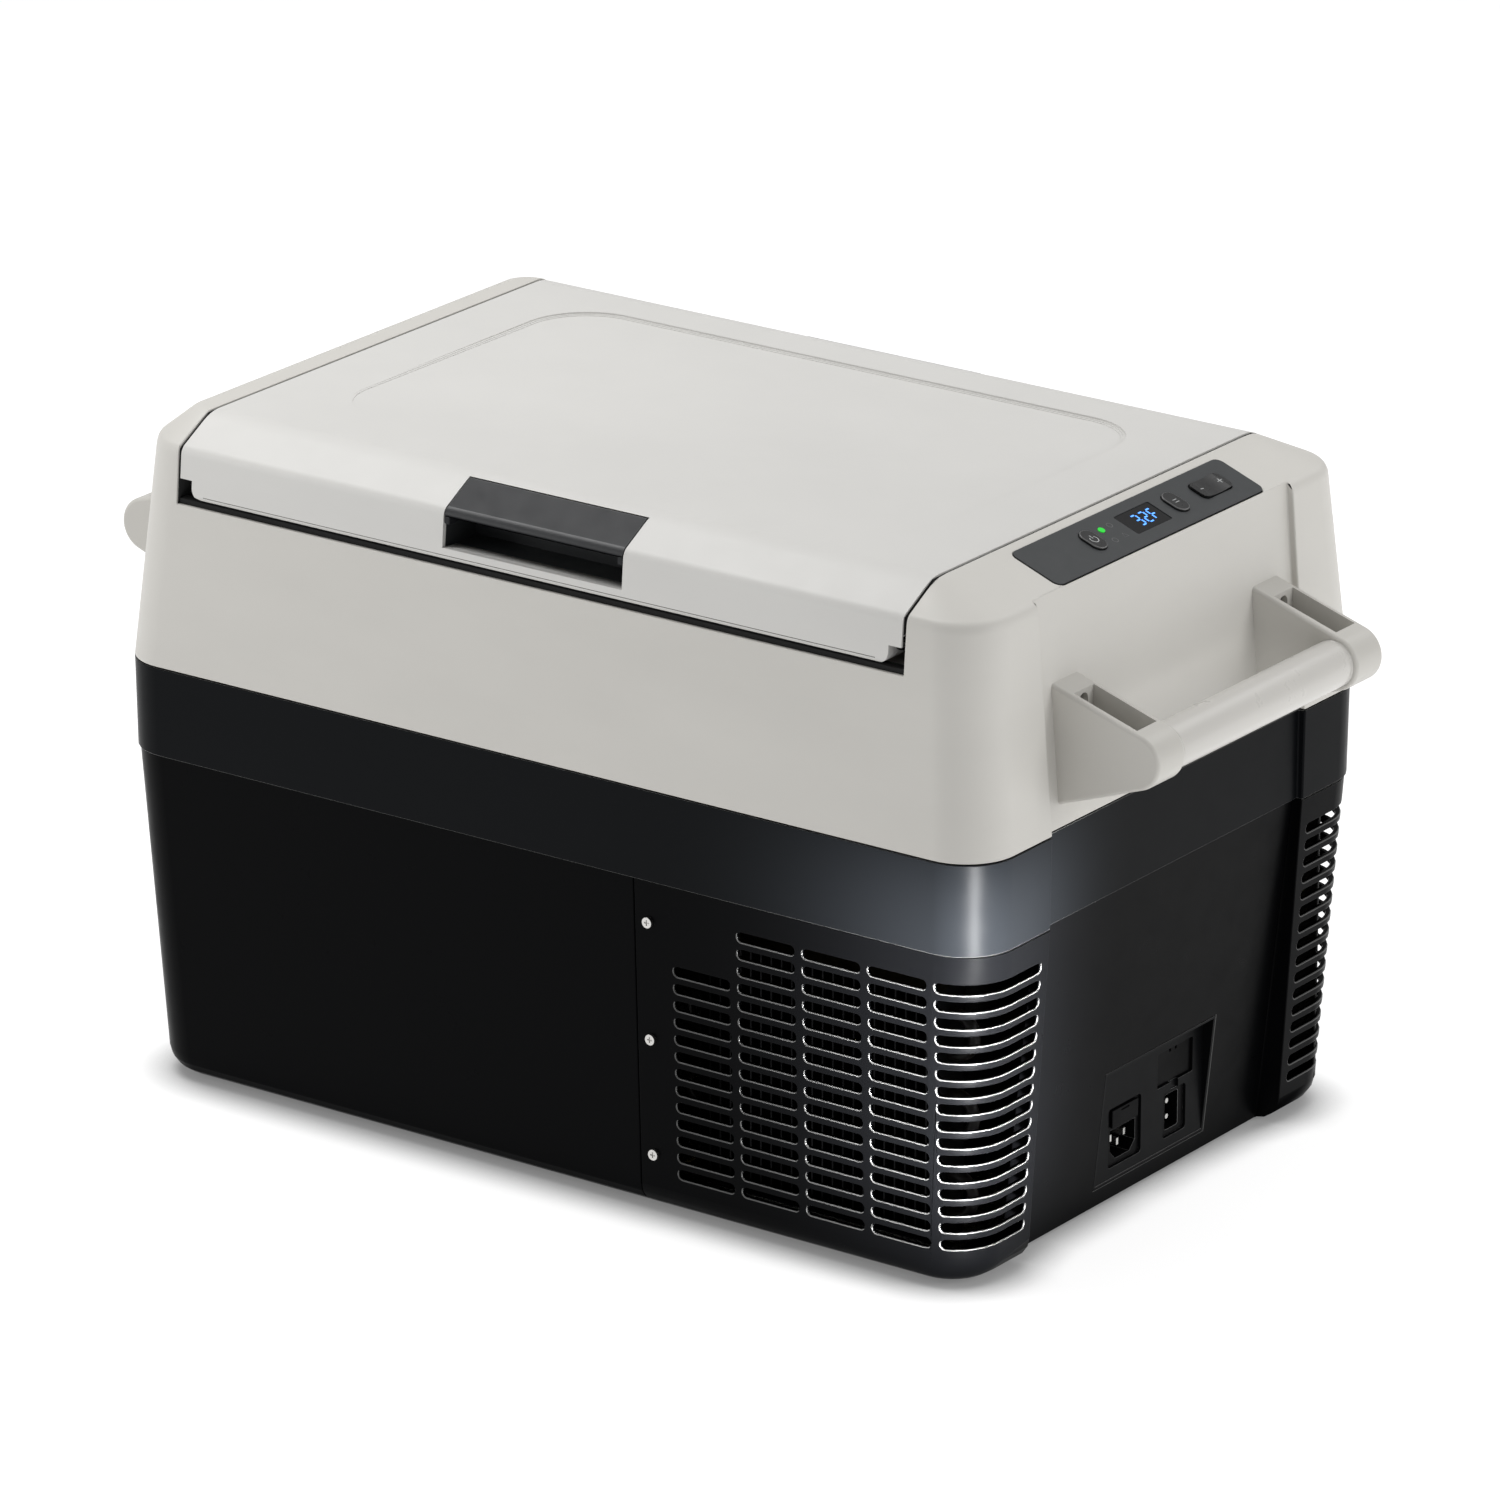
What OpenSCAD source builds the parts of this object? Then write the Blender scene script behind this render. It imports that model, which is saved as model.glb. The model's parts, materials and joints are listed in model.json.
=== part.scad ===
// Compressor cooler box. A lid sits between two end towers, is gripped at all four corners by
// spring latches, and hinges on the rear pair of pins. The cooling unit stands in a bay at the
// right-hand end, behind two vented covers. X runs along the long side, the front faces -Y,
// Z is up, and the origin is the centre of the footprint on the ground.

/* [Case] */
// Overall height
case_h = 407; // [404:1:410]
// Length of the case at its widest, without the handles
case_len = 612; // [608:1:616]
// Depth of the case at its widest
case_depth = 398; // [394:1:402]
// Radius of the upright corners
corner_r = 32; // [28:1:34]
// Thickness of the moulded shells
wall = 3; // [2.6:0.2:3]
// Height of the seam between the light upper shell and the belt
seam_z = 259; // [257:1:261]
// Height of the seam between the belt and the lower shell
belt_z = 204; // [202:1:206]
// Depth of the recess in each end face at the seam
recess_d = 4.6; // [4.2:0.2:5]

/* [Lid] */
// Left end of the lid
lid_x0 = -260; // [-261:1:-259]
// Right end of the lid
lid_x1 = 245.5; // [244.5:0.5:246.5]
// Height of the deck that the lid closes on
deck_z = 358.3; // [357.3:0.5:358.3]
// Opening angle of the lid, for the hinge limits
lid_open = 95; // [90:1:95]
// Width of each latch lever
latch_w = 126; // [120:1:130]

/* [Tub] */
// Left inner wall of the tub
tub_x0 = -233; // [-233:1:-231]
// Right inner wall of the deep part
tub_x1 = 17; // [15:1:17]
// Right inner wall of the shallow part, over the cooling unit
tub_x2 = 218; // [215:1:218]
// Half the inner depth of the tub
tub_hy = 152; // [150:1:152]

/* [Handles] */
// Centre of each grip tube from the middle of the case
grip_x = 349.5; // [347:0.5:351]
// Height of the grip tube
grip_z = 307.5; // [306:0.5:309]
// Outer radius of the grip tube
grip_r = 14; // [13:0.5:14.5]

/* [Vents] */
// Length of a flat vent slot
slot_len = 39.3; // [36:0.5:40]
// Height of a vent slot
slot_h = 6; // [5:0.5:6]
// Rows of vent slots
slot_rows = 16; // [14:1:16]

/* [Fan] */
// Radius of the fan blades
fan_r = 56; // [52:1:57]
// Number of fan blades
fan_blades = 7; // [5:1:9]

/* [Hidden] */

$fn = 48;
// Fineness of the discs inside a hull
hull_fn = 32;
// Thickness of the discs inside a hull
disc_t = 0.02;
// Gap between parts of one housing, and play around parts that move
seam_gap = 0.6;
play = 0.3;
// Far enough to cut right through anything
far = 400;

// Case outline: half lengths and half depths at each level, and the draft of each face
case_hx = case_len / 2;
case_hy = case_depth / 2;
draft_upper = 0.085;
draft_end = 0.062;
draft_recess = 0.107;
draft_face = 0.035;
belt_step = 2.4;
belt_step_end = 1;
foot_h = 1.5;
bottom_r = 15;
crease_z = case_h - 15.5;
top_x0 = -278;
top_x1 = 253;
top_hy = 160;
top_r = 14;
recess_hy = 128.5;
function base_hx(z) = case_hx - belt_step_end - draft_end * (belt_z - z);
function base_hy(z) = case_hy - belt_step - draft_face * (belt_z - z);
function upper_hx(z) = case_hx - draft_upper * (z - seam_z);
function upper_hy(z) = case_hy - draft_upper * (z - seam_z);
function end_face(z) = upper_hx(z) - recess_d;
function low_end_face(z) = case_hx - recess_d - 1.8 - draft_recess * (belt_z - z);

// Slope that holds the controls
slope_a = atan((case_h - crease_z) / (upper_hx(crease_z) - top_x1));
panel_x = 272.5;
panel_y = 4;
panel_z = case_h - (panel_x - top_x1) * tan(slope_a);
panel_w = 35.4;
panel_len = 208;
power_v = -45.5;
led_v = -31;
display_v = 4.7;
set_v = 37.2;
rocker_v = 73.2;
row_u = -0.8;
rocker_pivot = -4.5;

// Bay behind the vent covers
cover_x = 67.8;
cover_hy = recess_hy - 2;
bay_x0 = 57;
bay_top = 226;
bay_floor = 4.8;
slot_pitch_x = 44.7;
slot_pitch_z = 10.39;
slot_z0 = 27.6;
slot_x0 = 94.6;
corner_slot_x = 273.5;
screw_x = 78;
screw_zs = [36, 107, 178.5];

// Lid, its latches and its pivots
lid_gap = 2.3;
slot_x_lo = lid_x0 - lid_gap;
slot_x_hi = lid_x1 + lid_gap;
skirt_z = deck_z + 4.5;
notch_w = 8.5;
notch_z = 374;
notch_r = 7;
lid_mid = (lid_x0 + lid_x1) / 2;
pin_y = 179;
pin_z = 374;
pin_r = 2.6;
hook_in_r = pin_r + play;
hook_r = 5;
hook_w = 4.4;
shaft_y = 171;
shaft_z = 390;
shaft_r = 3;
lip_end_r = 16.4;
pocket_z = deck_z + 11.2;
flange_t = 2.3;
pan_t = 2.5;
plate_z = deck_z + 5.9;
plug_z = 350;
plug_gap = 6;
coil_r = 4.5;

// Handle brackets
bracket_y0 = 87.5;
bracket_y1 = 115;
nose_r = grip_r + 2.5;
bracket_top_z = 342;
bracket_bot_z = 272;
bracket_screw_zs = [331, 285];

// Sockets on the right-hand end
inlet_x = 278.8;
inlet_y = [-42, 68];
inlet_z = [14.3, 84];
ac_y = -11.6;
ac_z = 38.8;
dc_y = 39.6;
dc_z = 34.5;
fuse_y = 40;
fuse_z = 64;
mains_pins = [[0, -7.4], [-7, -3.4], [7, -3.4]];
dc_pin_zs = [-4, 5.6];

// Basket
basket_x = [-226, 10];
basket_hy = 144;
basket_z = [50, 300];
wire = 3;
bail_hy = 55;
bail_drop = 44;

// Cooling unit
compressor_x = 155;
compressor_y = 12;
compressor_r = 60;
mount_points = [for (sx = [-1, 1], sy = [-1, 1]) [compressor_x + sx * 56, compressor_y + sy * 46]];
tray_top = bay_floor + 1.8;
cond_x = [93, 257];
cond_y = [-168, -142];
cond_z = [18, 166];
cond_rows = [for (k = [0:5]) cond_z[0] + 14 + k * 24];
cond_mid = (cond_y[0] + cond_y[1]) / 2;
fan_x = 175;
fan_y = -125;
fan_z = 92;

// --- Shared shapes -------------------------------------------------------------------------

// Rectangle with rounded corners, about its own centre
module rounded_rect(hx, hy, r) {
  square([2 * hx, 2 * (hy - r)], center = true);
  square([2 * (hx - r), 2 * hy], center = true);
  for (sx = [-1, 1], sy = [-1, 1])
    translate([sx * (hx - r), sy * (hy - r)])
      circle(r);
}

// Rounded box from z0 to z1 that spans x0..x1 and -hy..hy
module rounded_box(x0, x1, hy, z0, z1, r) {
  translate([(x0 + x1) / 2, 0, z0])
    linear_extrude(z1 - z0)
      rounded_rect((x1 - x0) / 2, hy, r);
}

// Plain box between two corners
module box(a, b) {
  translate(a)
    cube(b - a);
}

// Four thin discs at the corners of a level, for a hull to wrap
module level(z, hx, hy, r, cx = 0) {
  for (sx = [-1, 1], sy = [-1, 1])
    translate([cx + sx * (hx - r), sy * (hy - r), z])
      cylinder(h = disc_t, r = r, $fn = hull_fn);
}

// Runs a profile drawn in (Y, Z) along X
module along_x(x0, x1) {
  translate([x0, 0, 0])
    rotate([90, 0, 90])
      linear_extrude(x1 - x0)
        children();
}

// Runs a profile drawn in (X, Z) along Y
module along_y(y0, y1) {
  translate([0, y1, 0])
    rotate([90, 0, 0])
      linear_extrude(y1 - y0)
        children();
}

// Round bar along X, Y or Z
module bar_x(x0, x1, y, z, r) {
  translate([x0, y, z])
    rotate([0, 90, 0])
      cylinder(h = x1 - x0, r = r);
}
module bar_y(y0, y1, x, z, r) {
  translate([x, y1, z])
    rotate([90, 0, 0])
      cylinder(h = y1 - y0, r = r);
}
module bar_z(z0, z1, x, y, r) {
  translate([x, y, z0])
    cylinder(h = z1 - z0, r = r);
}

// The same thing at the front and, mirrored, at the rear
module front_and_rear() {
  children();
  mirror([0, 1, 0])
    children();
}

// The same thing at the right-hand end and, mirrored, at the left-hand end
module both_ends() {
  children();
  mirror([1, 0, 0])
    children();
}

// Long slot with round ends, drawn about its centre
module stadium(len, h) {
  square([len - h, h], center = true);
  for (s = [-1, 1])
    translate([s * (len - h) / 2, 0])
      circle(h / 2, $fn = 24);
}

// --- Case shells ---------------------------------------------------------------------------

// Solid of the lower shell, its bottom edge rounded in a quarter circle, shrunk by off
module lower_solid(off, top) {
  r = bottom_r - off;
  hull() {
    for (a = [0:22.5:90]) {
      z = foot_h + off + r * (1 - sin(a));
      inset = off + r * (1 - cos(a));
      level(z, base_hx(z) - inset, base_hy(z) - inset, corner_r - inset);
    }
    level(top, base_hx(top) - off, base_hy(top) - off, corner_r - off);
  }
}

// Solid of the upper shell, bevelled towards its top face, shrunk by off
module upper_solid(off, bottom) {
  bevel_z = crease_z - 0.58 * off;
  hull() {
    level(bottom, upper_hx(bottom) - off, upper_hy(bottom) - off, corner_r - off);
    level(bevel_z, upper_hx(bevel_z) - off, upper_hy(bevel_z) - off, corner_r - off);
    level(case_h - off - disc_t, (top_x1 - top_x0) / 2 - 0.27 * off, top_hy - 0.27 * off,
      top_r, (top_x0 + top_x1) / 2);
  }
}

// Everything outside the recessed end faces, moved inwards by grow
module end_recess(grow) {
  hy = recess_hy + grow;
  both_ends()
    along_y(-hy, hy)
      polygon([
        [low_end_face(0) - grow, -1],
        [low_end_face(belt_z) - grow, belt_z],
        [case_hx - recess_d - grow, belt_z],
        [case_hx - recess_d - grow, seam_z],
        [end_face(case_h + 5) - grow, case_h + 5],
        [far, case_h + 5],
        [far, -1]
      ]);
}

// Hollow lower shell with its end faces recessed, before the bay is opened
module lower_skin(t) {
  difference() {
    lower_solid(0, belt_z - seam_gap);
    difference() {
      lower_solid(t, belt_z + 1);
      end_recess(t);
    }
    end_recess(0);
  }
}

// The corner of the lower shell that a vent cover takes, with the floor left out
module cover_region(gap) {
  difference() {
    box([cover_x + gap, -far, -1], [far, -cover_hy - gap, belt_z + 5]);
    box([0, -174 - gap, -2], [267 + gap, 0, bay_floor + gap]);
  }
}

module base_shell() {
  color("#1f2022")
    difference() {
      union() {
        difference() {
          lower_skin(wall);
          front_and_rear()
            cover_region(0);
        }
        // Jambs that the cover screws bite into, joined to the wall beside the covers
        front_and_rear() {
          box([cover_x - 9, -186, 16], [screw_x + 7, -182, belt_z - 8]);
          intersection() {
            box([cover_x - 9, -far, bay_floor - 1], [cover_x, -182, belt_z - 8]);
            lower_solid(wall - 0.5, belt_z - 1);
          }
        }
      }
      for (z = screw_zs)
        bar_y(-far, far, screw_x, z, 1.6);
      box([inlet_x - 30, inlet_y[0] - 1.9, inlet_z[0] - 1.9], [far, inlet_y[1] + 1.9, inlet_z[1] + 1.9]);
      for (sx = [-1, 1], sy = [-1, 1])
        bar_z(-1, foot_h + 1.5, sx * 225, sy * 140, 11);
    }
}

module belt_band() {
  lip_hx = base_hx(belt_z - 6) - wall - 0.6;
  lip_hy = base_hy(belt_z - 6) - wall - 0.6;
  color("#26272a")
    difference() {
      union() {
        difference() {
          hull() {
            level(belt_z, case_hx - 0.8, case_hy - 0.6, corner_r);
            level(seam_z - 0.8, case_hx - 0.1, case_hy - 0.1, corner_r);
          }
          end_recess(0);
        }
        difference() {
          rounded_box(-lip_hx, lip_hx, lip_hy, belt_z - 6, seam_z + 6, corner_r - wall - 0.8);
          end_recess(wall + 0.4);
        }
      }
      difference() {
        rounded_box(-lip_hx + 2.2, lip_hx - 2.2, lip_hy - 2.2, 0, case_h, corner_r - wall - 3);
        end_recess(wall + 2.6);
      }
    }
}

module upper_shell() {
  color("#d2d0ca")
    difference() {
      upper_solid(0, seam_z);
      difference() {
        upper_solid(wall, seam_z - 1);
        box([slot_x_lo - wall, -far, deck_z - wall], [slot_x_hi + wall, far, far * 2]);
        end_recess(wall);
      }
      end_recess(0);
      box([slot_x_lo, -far, deck_z], [slot_x_hi, far, far * 2]);
      rounded_box(tub_x0 - 3, tub_x2 + 3, tub_hy + 3, deck_z - 10, deck_z + 10, 21);
      on_slope(0, 0)
        translate([0, 0, -8])
          linear_extrude(16)
            rounded_rect(panel_w / 2 + 0.3, panel_len / 2 + 0.3, 5.3);
      for (sy = [-1, 1])
        bar_x(-275, 265, sy * pin_y, pin_z, pin_r + 0.05);
      for (sy = [-1, 1], z = bracket_screw_zs)
        bar_x(-far, far, sy * (bracket_y0 + bracket_y1) / 2, z, 2.2);
    }
}

module rubber_feet() {
  color("#151515")
    for (sx = [-1, 1], sy = [-1, 1])
      bar_z(0, foot_h + 1.4, sx * 225, sy * 140, 10.8);
}

// --- Vent covers ---------------------------------------------------------------------------

// Flat slots in columns; the first column starts three rows lower
module face_slots() {
  for (col = [0:3], row = [0:slot_rows - 1])
    if (col > 0 || row < slot_rows - 3)
      translate([slot_x0 + col * slot_pitch_x + slot_len / 2, slot_z0 + row * slot_pitch_z])
        stadium(slot_len, slot_h);
}

// Slots that wrap the corner
module corner_slots() {
  for (row = [0:slot_rows - 1]) {
    z = slot_z0 + row * slot_pitch_z;
    box([corner_slot_x + slot_h / 2, -far, z - slot_h / 2],
      [far, -cover_hy - 12, z + slot_h / 2]);
    bar_y(-far, -150, corner_slot_x + slot_h / 2, z, slot_h / 2);
    bar_x(245, far, -cover_hy - 12, z, slot_h / 2);
  }
}

module vent_cover() {
  difference() {
    intersection() {
      lower_skin(2.8);
      cover_region(seam_gap);
    }
    along_y(-far, -170)
      face_slots();
    corner_slots();
    for (z = screw_zs)
      bar_y(-far, -170, screw_x, z, 1.9);
  }
}

module front_vent_cover() {
  color("#1f2022")
    vent_cover();
}

module rear_vent_cover() {
  color("#1f2022")
    mirror([0, 1, 0])
      vent_cover();
}

module cover_screws() {
  color("silver")
    front_and_rear()
      for (z = screw_zs) {
        head_y = -base_hy(z) - 0.1;
        difference() {
          union() {
            bar_y(head_y - 1.9, head_y, screw_x, z, 3.2);
            bar_y(head_y - 0.1, -181, screw_x, z, 1.55);
          }
          for (a = [0, 90])
            translate([screw_x, head_y - 1.9, z])
              rotate([0, a, 0])
                cube([3.4, 1.8, 0.8], center = true);
        }
      }
}

// --- Sockets -------------------------------------------------------------------------------

// Outline of the mains socket: the two lower corners are cut off
module mains_outline(w, h, cut) {
  polygon([[-w / 2, h / 2], [w / 2, h / 2], [w / 2, -h / 2 + cut], [w / 2 - cut, -h / 2],
    [-w / 2 + cut, -h / 2], [-w / 2, -h / 2 + cut]]);
}

module inlet_panel() {
  color("#232427")
    difference() {
      intersection() {
        box([inlet_x - 4.2, inlet_y[0] - 1.5, inlet_z[0] - 1.5], [far, inlet_y[1] + 1.5, inlet_z[1] + 1.5]);
        along_y(-far, far)
          polygon([[0, 0], [low_end_face(0) - 0.2, 0], [low_end_face(belt_z) - 0.2, belt_z], [0, belt_z]]);
      }
      box([inlet_x, inlet_y[0], inlet_z[0]], [far, inlet_y[1], inlet_z[1]]);
      // Mains inlet, low-voltage inlet, fuse cover, and the neck between the last two
      translate([inlet_x - 10, ac_y, ac_z])
        rotate([90, 0, 90])
          linear_extrude(20)
            rounded_rect(16.7, 18.1, 2.4);
      translate([inlet_x - 10, dc_y, dc_z])
        rotate([90, 0, 90])
          linear_extrude(20)
            rounded_rect(11.7, 14, 2.4);
      translate([inlet_x - 10, fuse_y, fuse_z])
        rotate([90, 0, 90])
          linear_extrude(20)
            rounded_rect(18.2, 10.6, 1.2);
      box([inlet_x - 1.8, dc_y - 3.8, dc_z + 12], [far, dc_y + 3.8, fuse_z - 9]);
    }
}

module ac_inlet() {
  face = inlet_x - 1.5;
  color("#141414")
    difference() {
      union() {
        translate([face - 2.5, ac_y, ac_z])
          rotate([90, 0, 90])
            linear_extrude(2.5)
              rounded_rect(16.3, 17.7, 2);
        box([face - 27, ac_y - 14.5, ac_z - 16.5], [face - 2.5, ac_y + 14.5, ac_z + 16.5]);
      }
      // Socket, with the three pin bores in its floor
      translate([face - 18, ac_y, ac_z - 5.4])
        rotate([90, 0, 90])
          linear_extrude(30)
            mains_outline(25.6, 18.4, 5.5);
      for (p = mains_pins)
        box([face - 28, ac_y + p[0] - 1.05, ac_z + p[1] - 2.05], [face, ac_y + p[0] + 1.05, ac_z + p[1] + 2.05]);
      // Fuse drawer cavity
      box([face - 20, ac_y - 12, ac_z + 6.8], [face + 5, ac_y + 12, ac_z + 15.4]);
    }
}

module ac_pins() {
  face = inlet_x - 1.5;
  color("silver")
    for (p = mains_pins)
      box([face - 27.5, ac_y + p[0] - 1, ac_z + p[1] - 2], [face - 3.5, ac_y + p[0] + 1, ac_z + p[1] + 2]);
}

module ac_fuse_drawer() {
  face = inlet_x - 1.5;
  color("#1b1b1c")
    difference() {
      union() {
        box([face + 0.3, ac_y - 13.2, ac_z + 5.8], [face + 1.9, ac_y + 13.2, ac_z + 16.4]);
        box([face - 18, ac_y - 11.7, ac_z + 7.1], [face + 0.4, ac_y + 11.7, ac_z + 15.1]);
      }
      // Fuse trough, and the nail slot in the front
      box([face - 16, ac_y - 9.5, ac_z + 9], [face - 2, ac_y + 9.5, ac_z + 16]);
      box([face + 1.2, ac_y - 4, ac_z + 14.2], [face + 2.5, ac_y + 4, ac_z + 15.2]);
    }
}

module dc_inlet() {
  face = inlet_x - 1.5;
  color("#141414")
    difference() {
      union() {
        translate([face - 2.5, dc_y, dc_z])
          rotate([90, 0, 90])
            linear_extrude(2.5)
              rounded_rect(11.3, 13.6, 2);
        box([face - 22, dc_y - 9, dc_z - 12.2], [face - 2.5, dc_y + 9, dc_z + 12.2]);
      }
      translate([face - 14, dc_y - 1, dc_z + 0.8])
        rotate([90, 0, 90])
          linear_extrude(30)
            rounded_rect(6.8, 10.8, 1.5);
      for (z = dc_pin_zs)
        bar_x(face - 23, face, dc_y - 1, dc_z + z, 1.55);
    }
}

module dc_pins() {
  face = inlet_x - 1.5;
  color("silver")
    for (z = dc_pin_zs)
      bar_x(face - 22.5, face - 3, dc_y - 1, dc_z + z, 1.5);
}

module dc_fuse_cover() {
  face = inlet_x - 1.6;
  color("#161617")
    difference() {
      union() {
        translate([face - 2, fuse_y, fuse_z])
          rotate([90, 0, 90])
            linear_extrude(2)
              rounded_rect(17.8, 10.2, 1);
        box([face - 16, fuse_y - 13, fuse_z - 6], [face - 1.9, fuse_y + 13, fuse_z + 6]);
      }
      // Fuse trough behind, and two release notches in the top edge
      box([face - 14, fuse_y - 11, fuse_z - 3.5], [face - 4, fuse_y + 11, fuse_z + 7]);
      for (s = [-1, 1])
        box([face - 3, fuse_y + s * 3 - 0.8, fuse_z + 7.6], [face + 1, fuse_y + s * 3 + 0.8, fuse_z + 12]);
    }
}

// --- Controls ------------------------------------------------------------------------------

// Stands its children on the slope: u runs down the slope, v along Y, Z out of it
module on_slope(u, v) {
  translate([panel_x, panel_y, panel_z])
    rotate([0, slope_a, 0])
      translate([u, v, 0])
        children();
}

// Long button outline, longer down the slope
module oval(grow) {
  half_l = 9 + grow;
  r = 5.7 + grow;
  square([2 * (half_l - r), 2 * r], center = true);
  for (s = [-1, 1])
    translate([s * (half_l - r), 0])
      circle(r);
}

module control_bezel() {
  color("#4a4c4e")
    difference() {
      on_slope(0, 0)
        translate([0, 0, -wall])
          linear_extrude(wall + 0.5)
            rounded_rect(panel_w / 2, panel_len / 2, 5);
      for (v = [power_v, set_v])
        on_slope(row_u, v)
          translate([0, 0, -8])
            linear_extrude(16)
              oval(play);
      on_slope(row_u, rocker_v)
        translate([0, 0, -8])
          linear_extrude(16)
            rounded_rect(7.8, 14.8, 4.3);
      on_slope(row_u, display_v)
        translate([0, 0, -8])
          linear_extrude(16)
            rounded_rect(9.3, 17.4, 1.2);
      on_slope(-5.2, led_v)
        cylinder(h = 20, r = 2.25, center = true);
    }
}

module display_window() {
  color("#08090a")
    on_slope(row_u, display_v)
      translate([0, 0, -1.6])
        linear_extrude(1.8)
          rounded_rect(9.2, 17.3, 1.1);
}

// One seven-segment digit; on lists the lit segments, from the top bar clockwise, middle bar last
module digit(on) {
  w = 4.2;
  h = 9;
  t = 0.9;
  bars = [[0, h / 2, 0], [w / 2, h / 4, 90], [w / 2, -h / 4, 90], [0, -h / 2, 0],
    [-w / 2, -h / 4, 90], [-w / 2, h / 4, 90], [0, 0, 0]];
  for (k = on)
    translate([bars[k][0], bars[k][1]])
      rotate(bars[k][2])
        square([k % 3 == 0 ? w - 1.3 : h / 2 - 1.3, t], center = true);
}

module display_digits() {
  // Lit segments of each digit; the tops of the digits point towards the lid
  shown = [[0, 1, 2, 3, 6], [0, 1, 3, 4, 6], [0, 4, 5, 6]];
  color("#4a8dff")
    on_slope(row_u, display_v)
      translate([0, 0, 0.22])
        linear_extrude(0.15)
          rotate(90)
            for (k = [0:2])
              translate([-4.3 + 7.4 * k, 0])
                digit(shown[k]);
}

module status_led() {
  color("#20c020")
    on_slope(-5.2, led_v)
      translate([0, 0, -3])
        cylinder(h = 3.9, r = 2.2);
}

// Button cap with a crowned top, its outline given by the children
module button_cap(top) {
  translate([0, 0, -6])
    linear_extrude(6 + top)
      children();
}

module power_button() {
  color("#3a3c3e")
    on_slope(row_u, power_v)
      button_cap(2)
        oval(0);
}

module set_button() {
  color("#3a3c3e")
    on_slope(row_u, set_v)
      button_cap(2)
        oval(0);
}

module rocker_button() {
  color("#3a3c3e")
    on_slope(row_u, rocker_v)
      union() {
        difference() {
          button_cap(2)
            rounded_rect(7.3, 14.2, 4);
          // Shallow dish across the middle, so that each end stands proud
          translate([0, 0, 62])
            rotate([0, 90, 0])
              cylinder(h = 40, r = 60.9, center = true);
        }
        // Pivot under the bezel
        translate([0, 0, rocker_pivot])
          rotate([0, 90, 0])
            cylinder(h = 20, r = 1.2, center = true);
      }
}

module control_board() {
  color("#1d5a34")
    on_slope(0, 0) {
      difference() {
        translate([-14, -98, -13.6])
          cube([28, 196, 1.6]);
        for (v = [-92, 92])
          translate([0, v, -20])
            cylinder(h = 20, r = 1.7);
      }
      translate([row_u - 7, display_v - 15, -12])
        cube([14, 30, 6]);
    }
}

module keypad_mat() {
  color("#2c2c2c")
    for (v = [power_v, set_v, rocker_v])
      on_slope(row_u, v)
        translate([-7, v == rocker_v ? -13 : -6, -12])
          cube([14, v == rocker_v ? 26 : 12, 4.6]);
}

// --- Handles -------------------------------------------------------------------------------

// Point where a line from e touches the circle of radius r about c; side is 1 or -1
function touch(e, c, r, side) =
  let (d = e - c, a = atan2(d[1], d[0]) + side * acos(r / norm(d)))
    c + r * [cos(a), sin(a)];

module bracket_profile() {
  c = [grip_x, grip_z];
  top = [end_face(bracket_top_z), bracket_top_z];
  bot = [end_face(bracket_bot_z), bracket_bot_z];
  polygon([top, touch(top, c, nose_r, -1), c, touch(bot, c, nose_r, 1), bot]);
  translate(c)
    circle(nose_r);
}

// One bracket on the right-hand end, at the front
module bracket() {
  mid_y = -(bracket_y0 + bracket_y1) / 2;
  difference() {
    along_y(-bracket_y1, -bracket_y0)
      bracket_profile();
    // Trough between the side walls, open at the top
    along_y(-bracket_y1 + 4, -bracket_y0 - 4)
      polygon([[end_face(300) + 9, 360], [end_face(300) + 9, 279], [grip_x - 34, 280],
        [grip_x - 27, 287], [grip_x - 21, 299], [grip_x - 15, 310], [grip_x - 8, 319],
        [grip_x, 325.4], [grip_x, 360]]);
    // Socket for the grip and its rod
    bar_y(-bracket_y0 - 6, far, grip_x, grip_z, grip_r + 0.05);
    bar_y(-bracket_y0 - 16, far, grip_x, grip_z, 6.05);
    for (z = bracket_screw_zs) {
      bar_x(200, far, mid_y, z, 2.3);
      bar_x(end_face(z) + 5, far, mid_y, z, 4.6);
    }
  }
}

module right_handle_brackets() {
  color("#cfcdc7")
    front_and_rear()
      bracket();
}

module left_handle_brackets() {
  color("#cfcdc7")
    mirror([1, 0, 0])
      front_and_rear()
        bracket();
}

module grip() {
  difference() {
    bar_y(-bracket_y0 - 5.9, bracket_y0 + 5.9, grip_x, grip_z, grip_r);
    bar_y(-far, far, grip_x, grip_z, 6.05);
  }
}

module right_grip() {
  color("#d8d6d0")
    grip();
}

module left_grip() {
  color("#d8d6d0")
    mirror([1, 0, 0])
      grip();
}

module grip_rods() {
  color("silver")
    both_ends()
      bar_y(-bracket_y0 - 15.8, bracket_y0 + 15.8, grip_x, grip_z, 6);
}

module handle_screws() {
  mid_y = (bracket_y0 + bracket_y1) / 2;
  color("silver")
    both_ends()
      front_and_rear()
        for (z = bracket_screw_zs) {
          bar_x(end_face(z) + 5.1, end_face(z) + 8, -mid_y, z, 4.2);
          bar_x(end_face(z) - 9, end_face(z) + 5.2, -mid_y, z, 2.1);
        }
}

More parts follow.
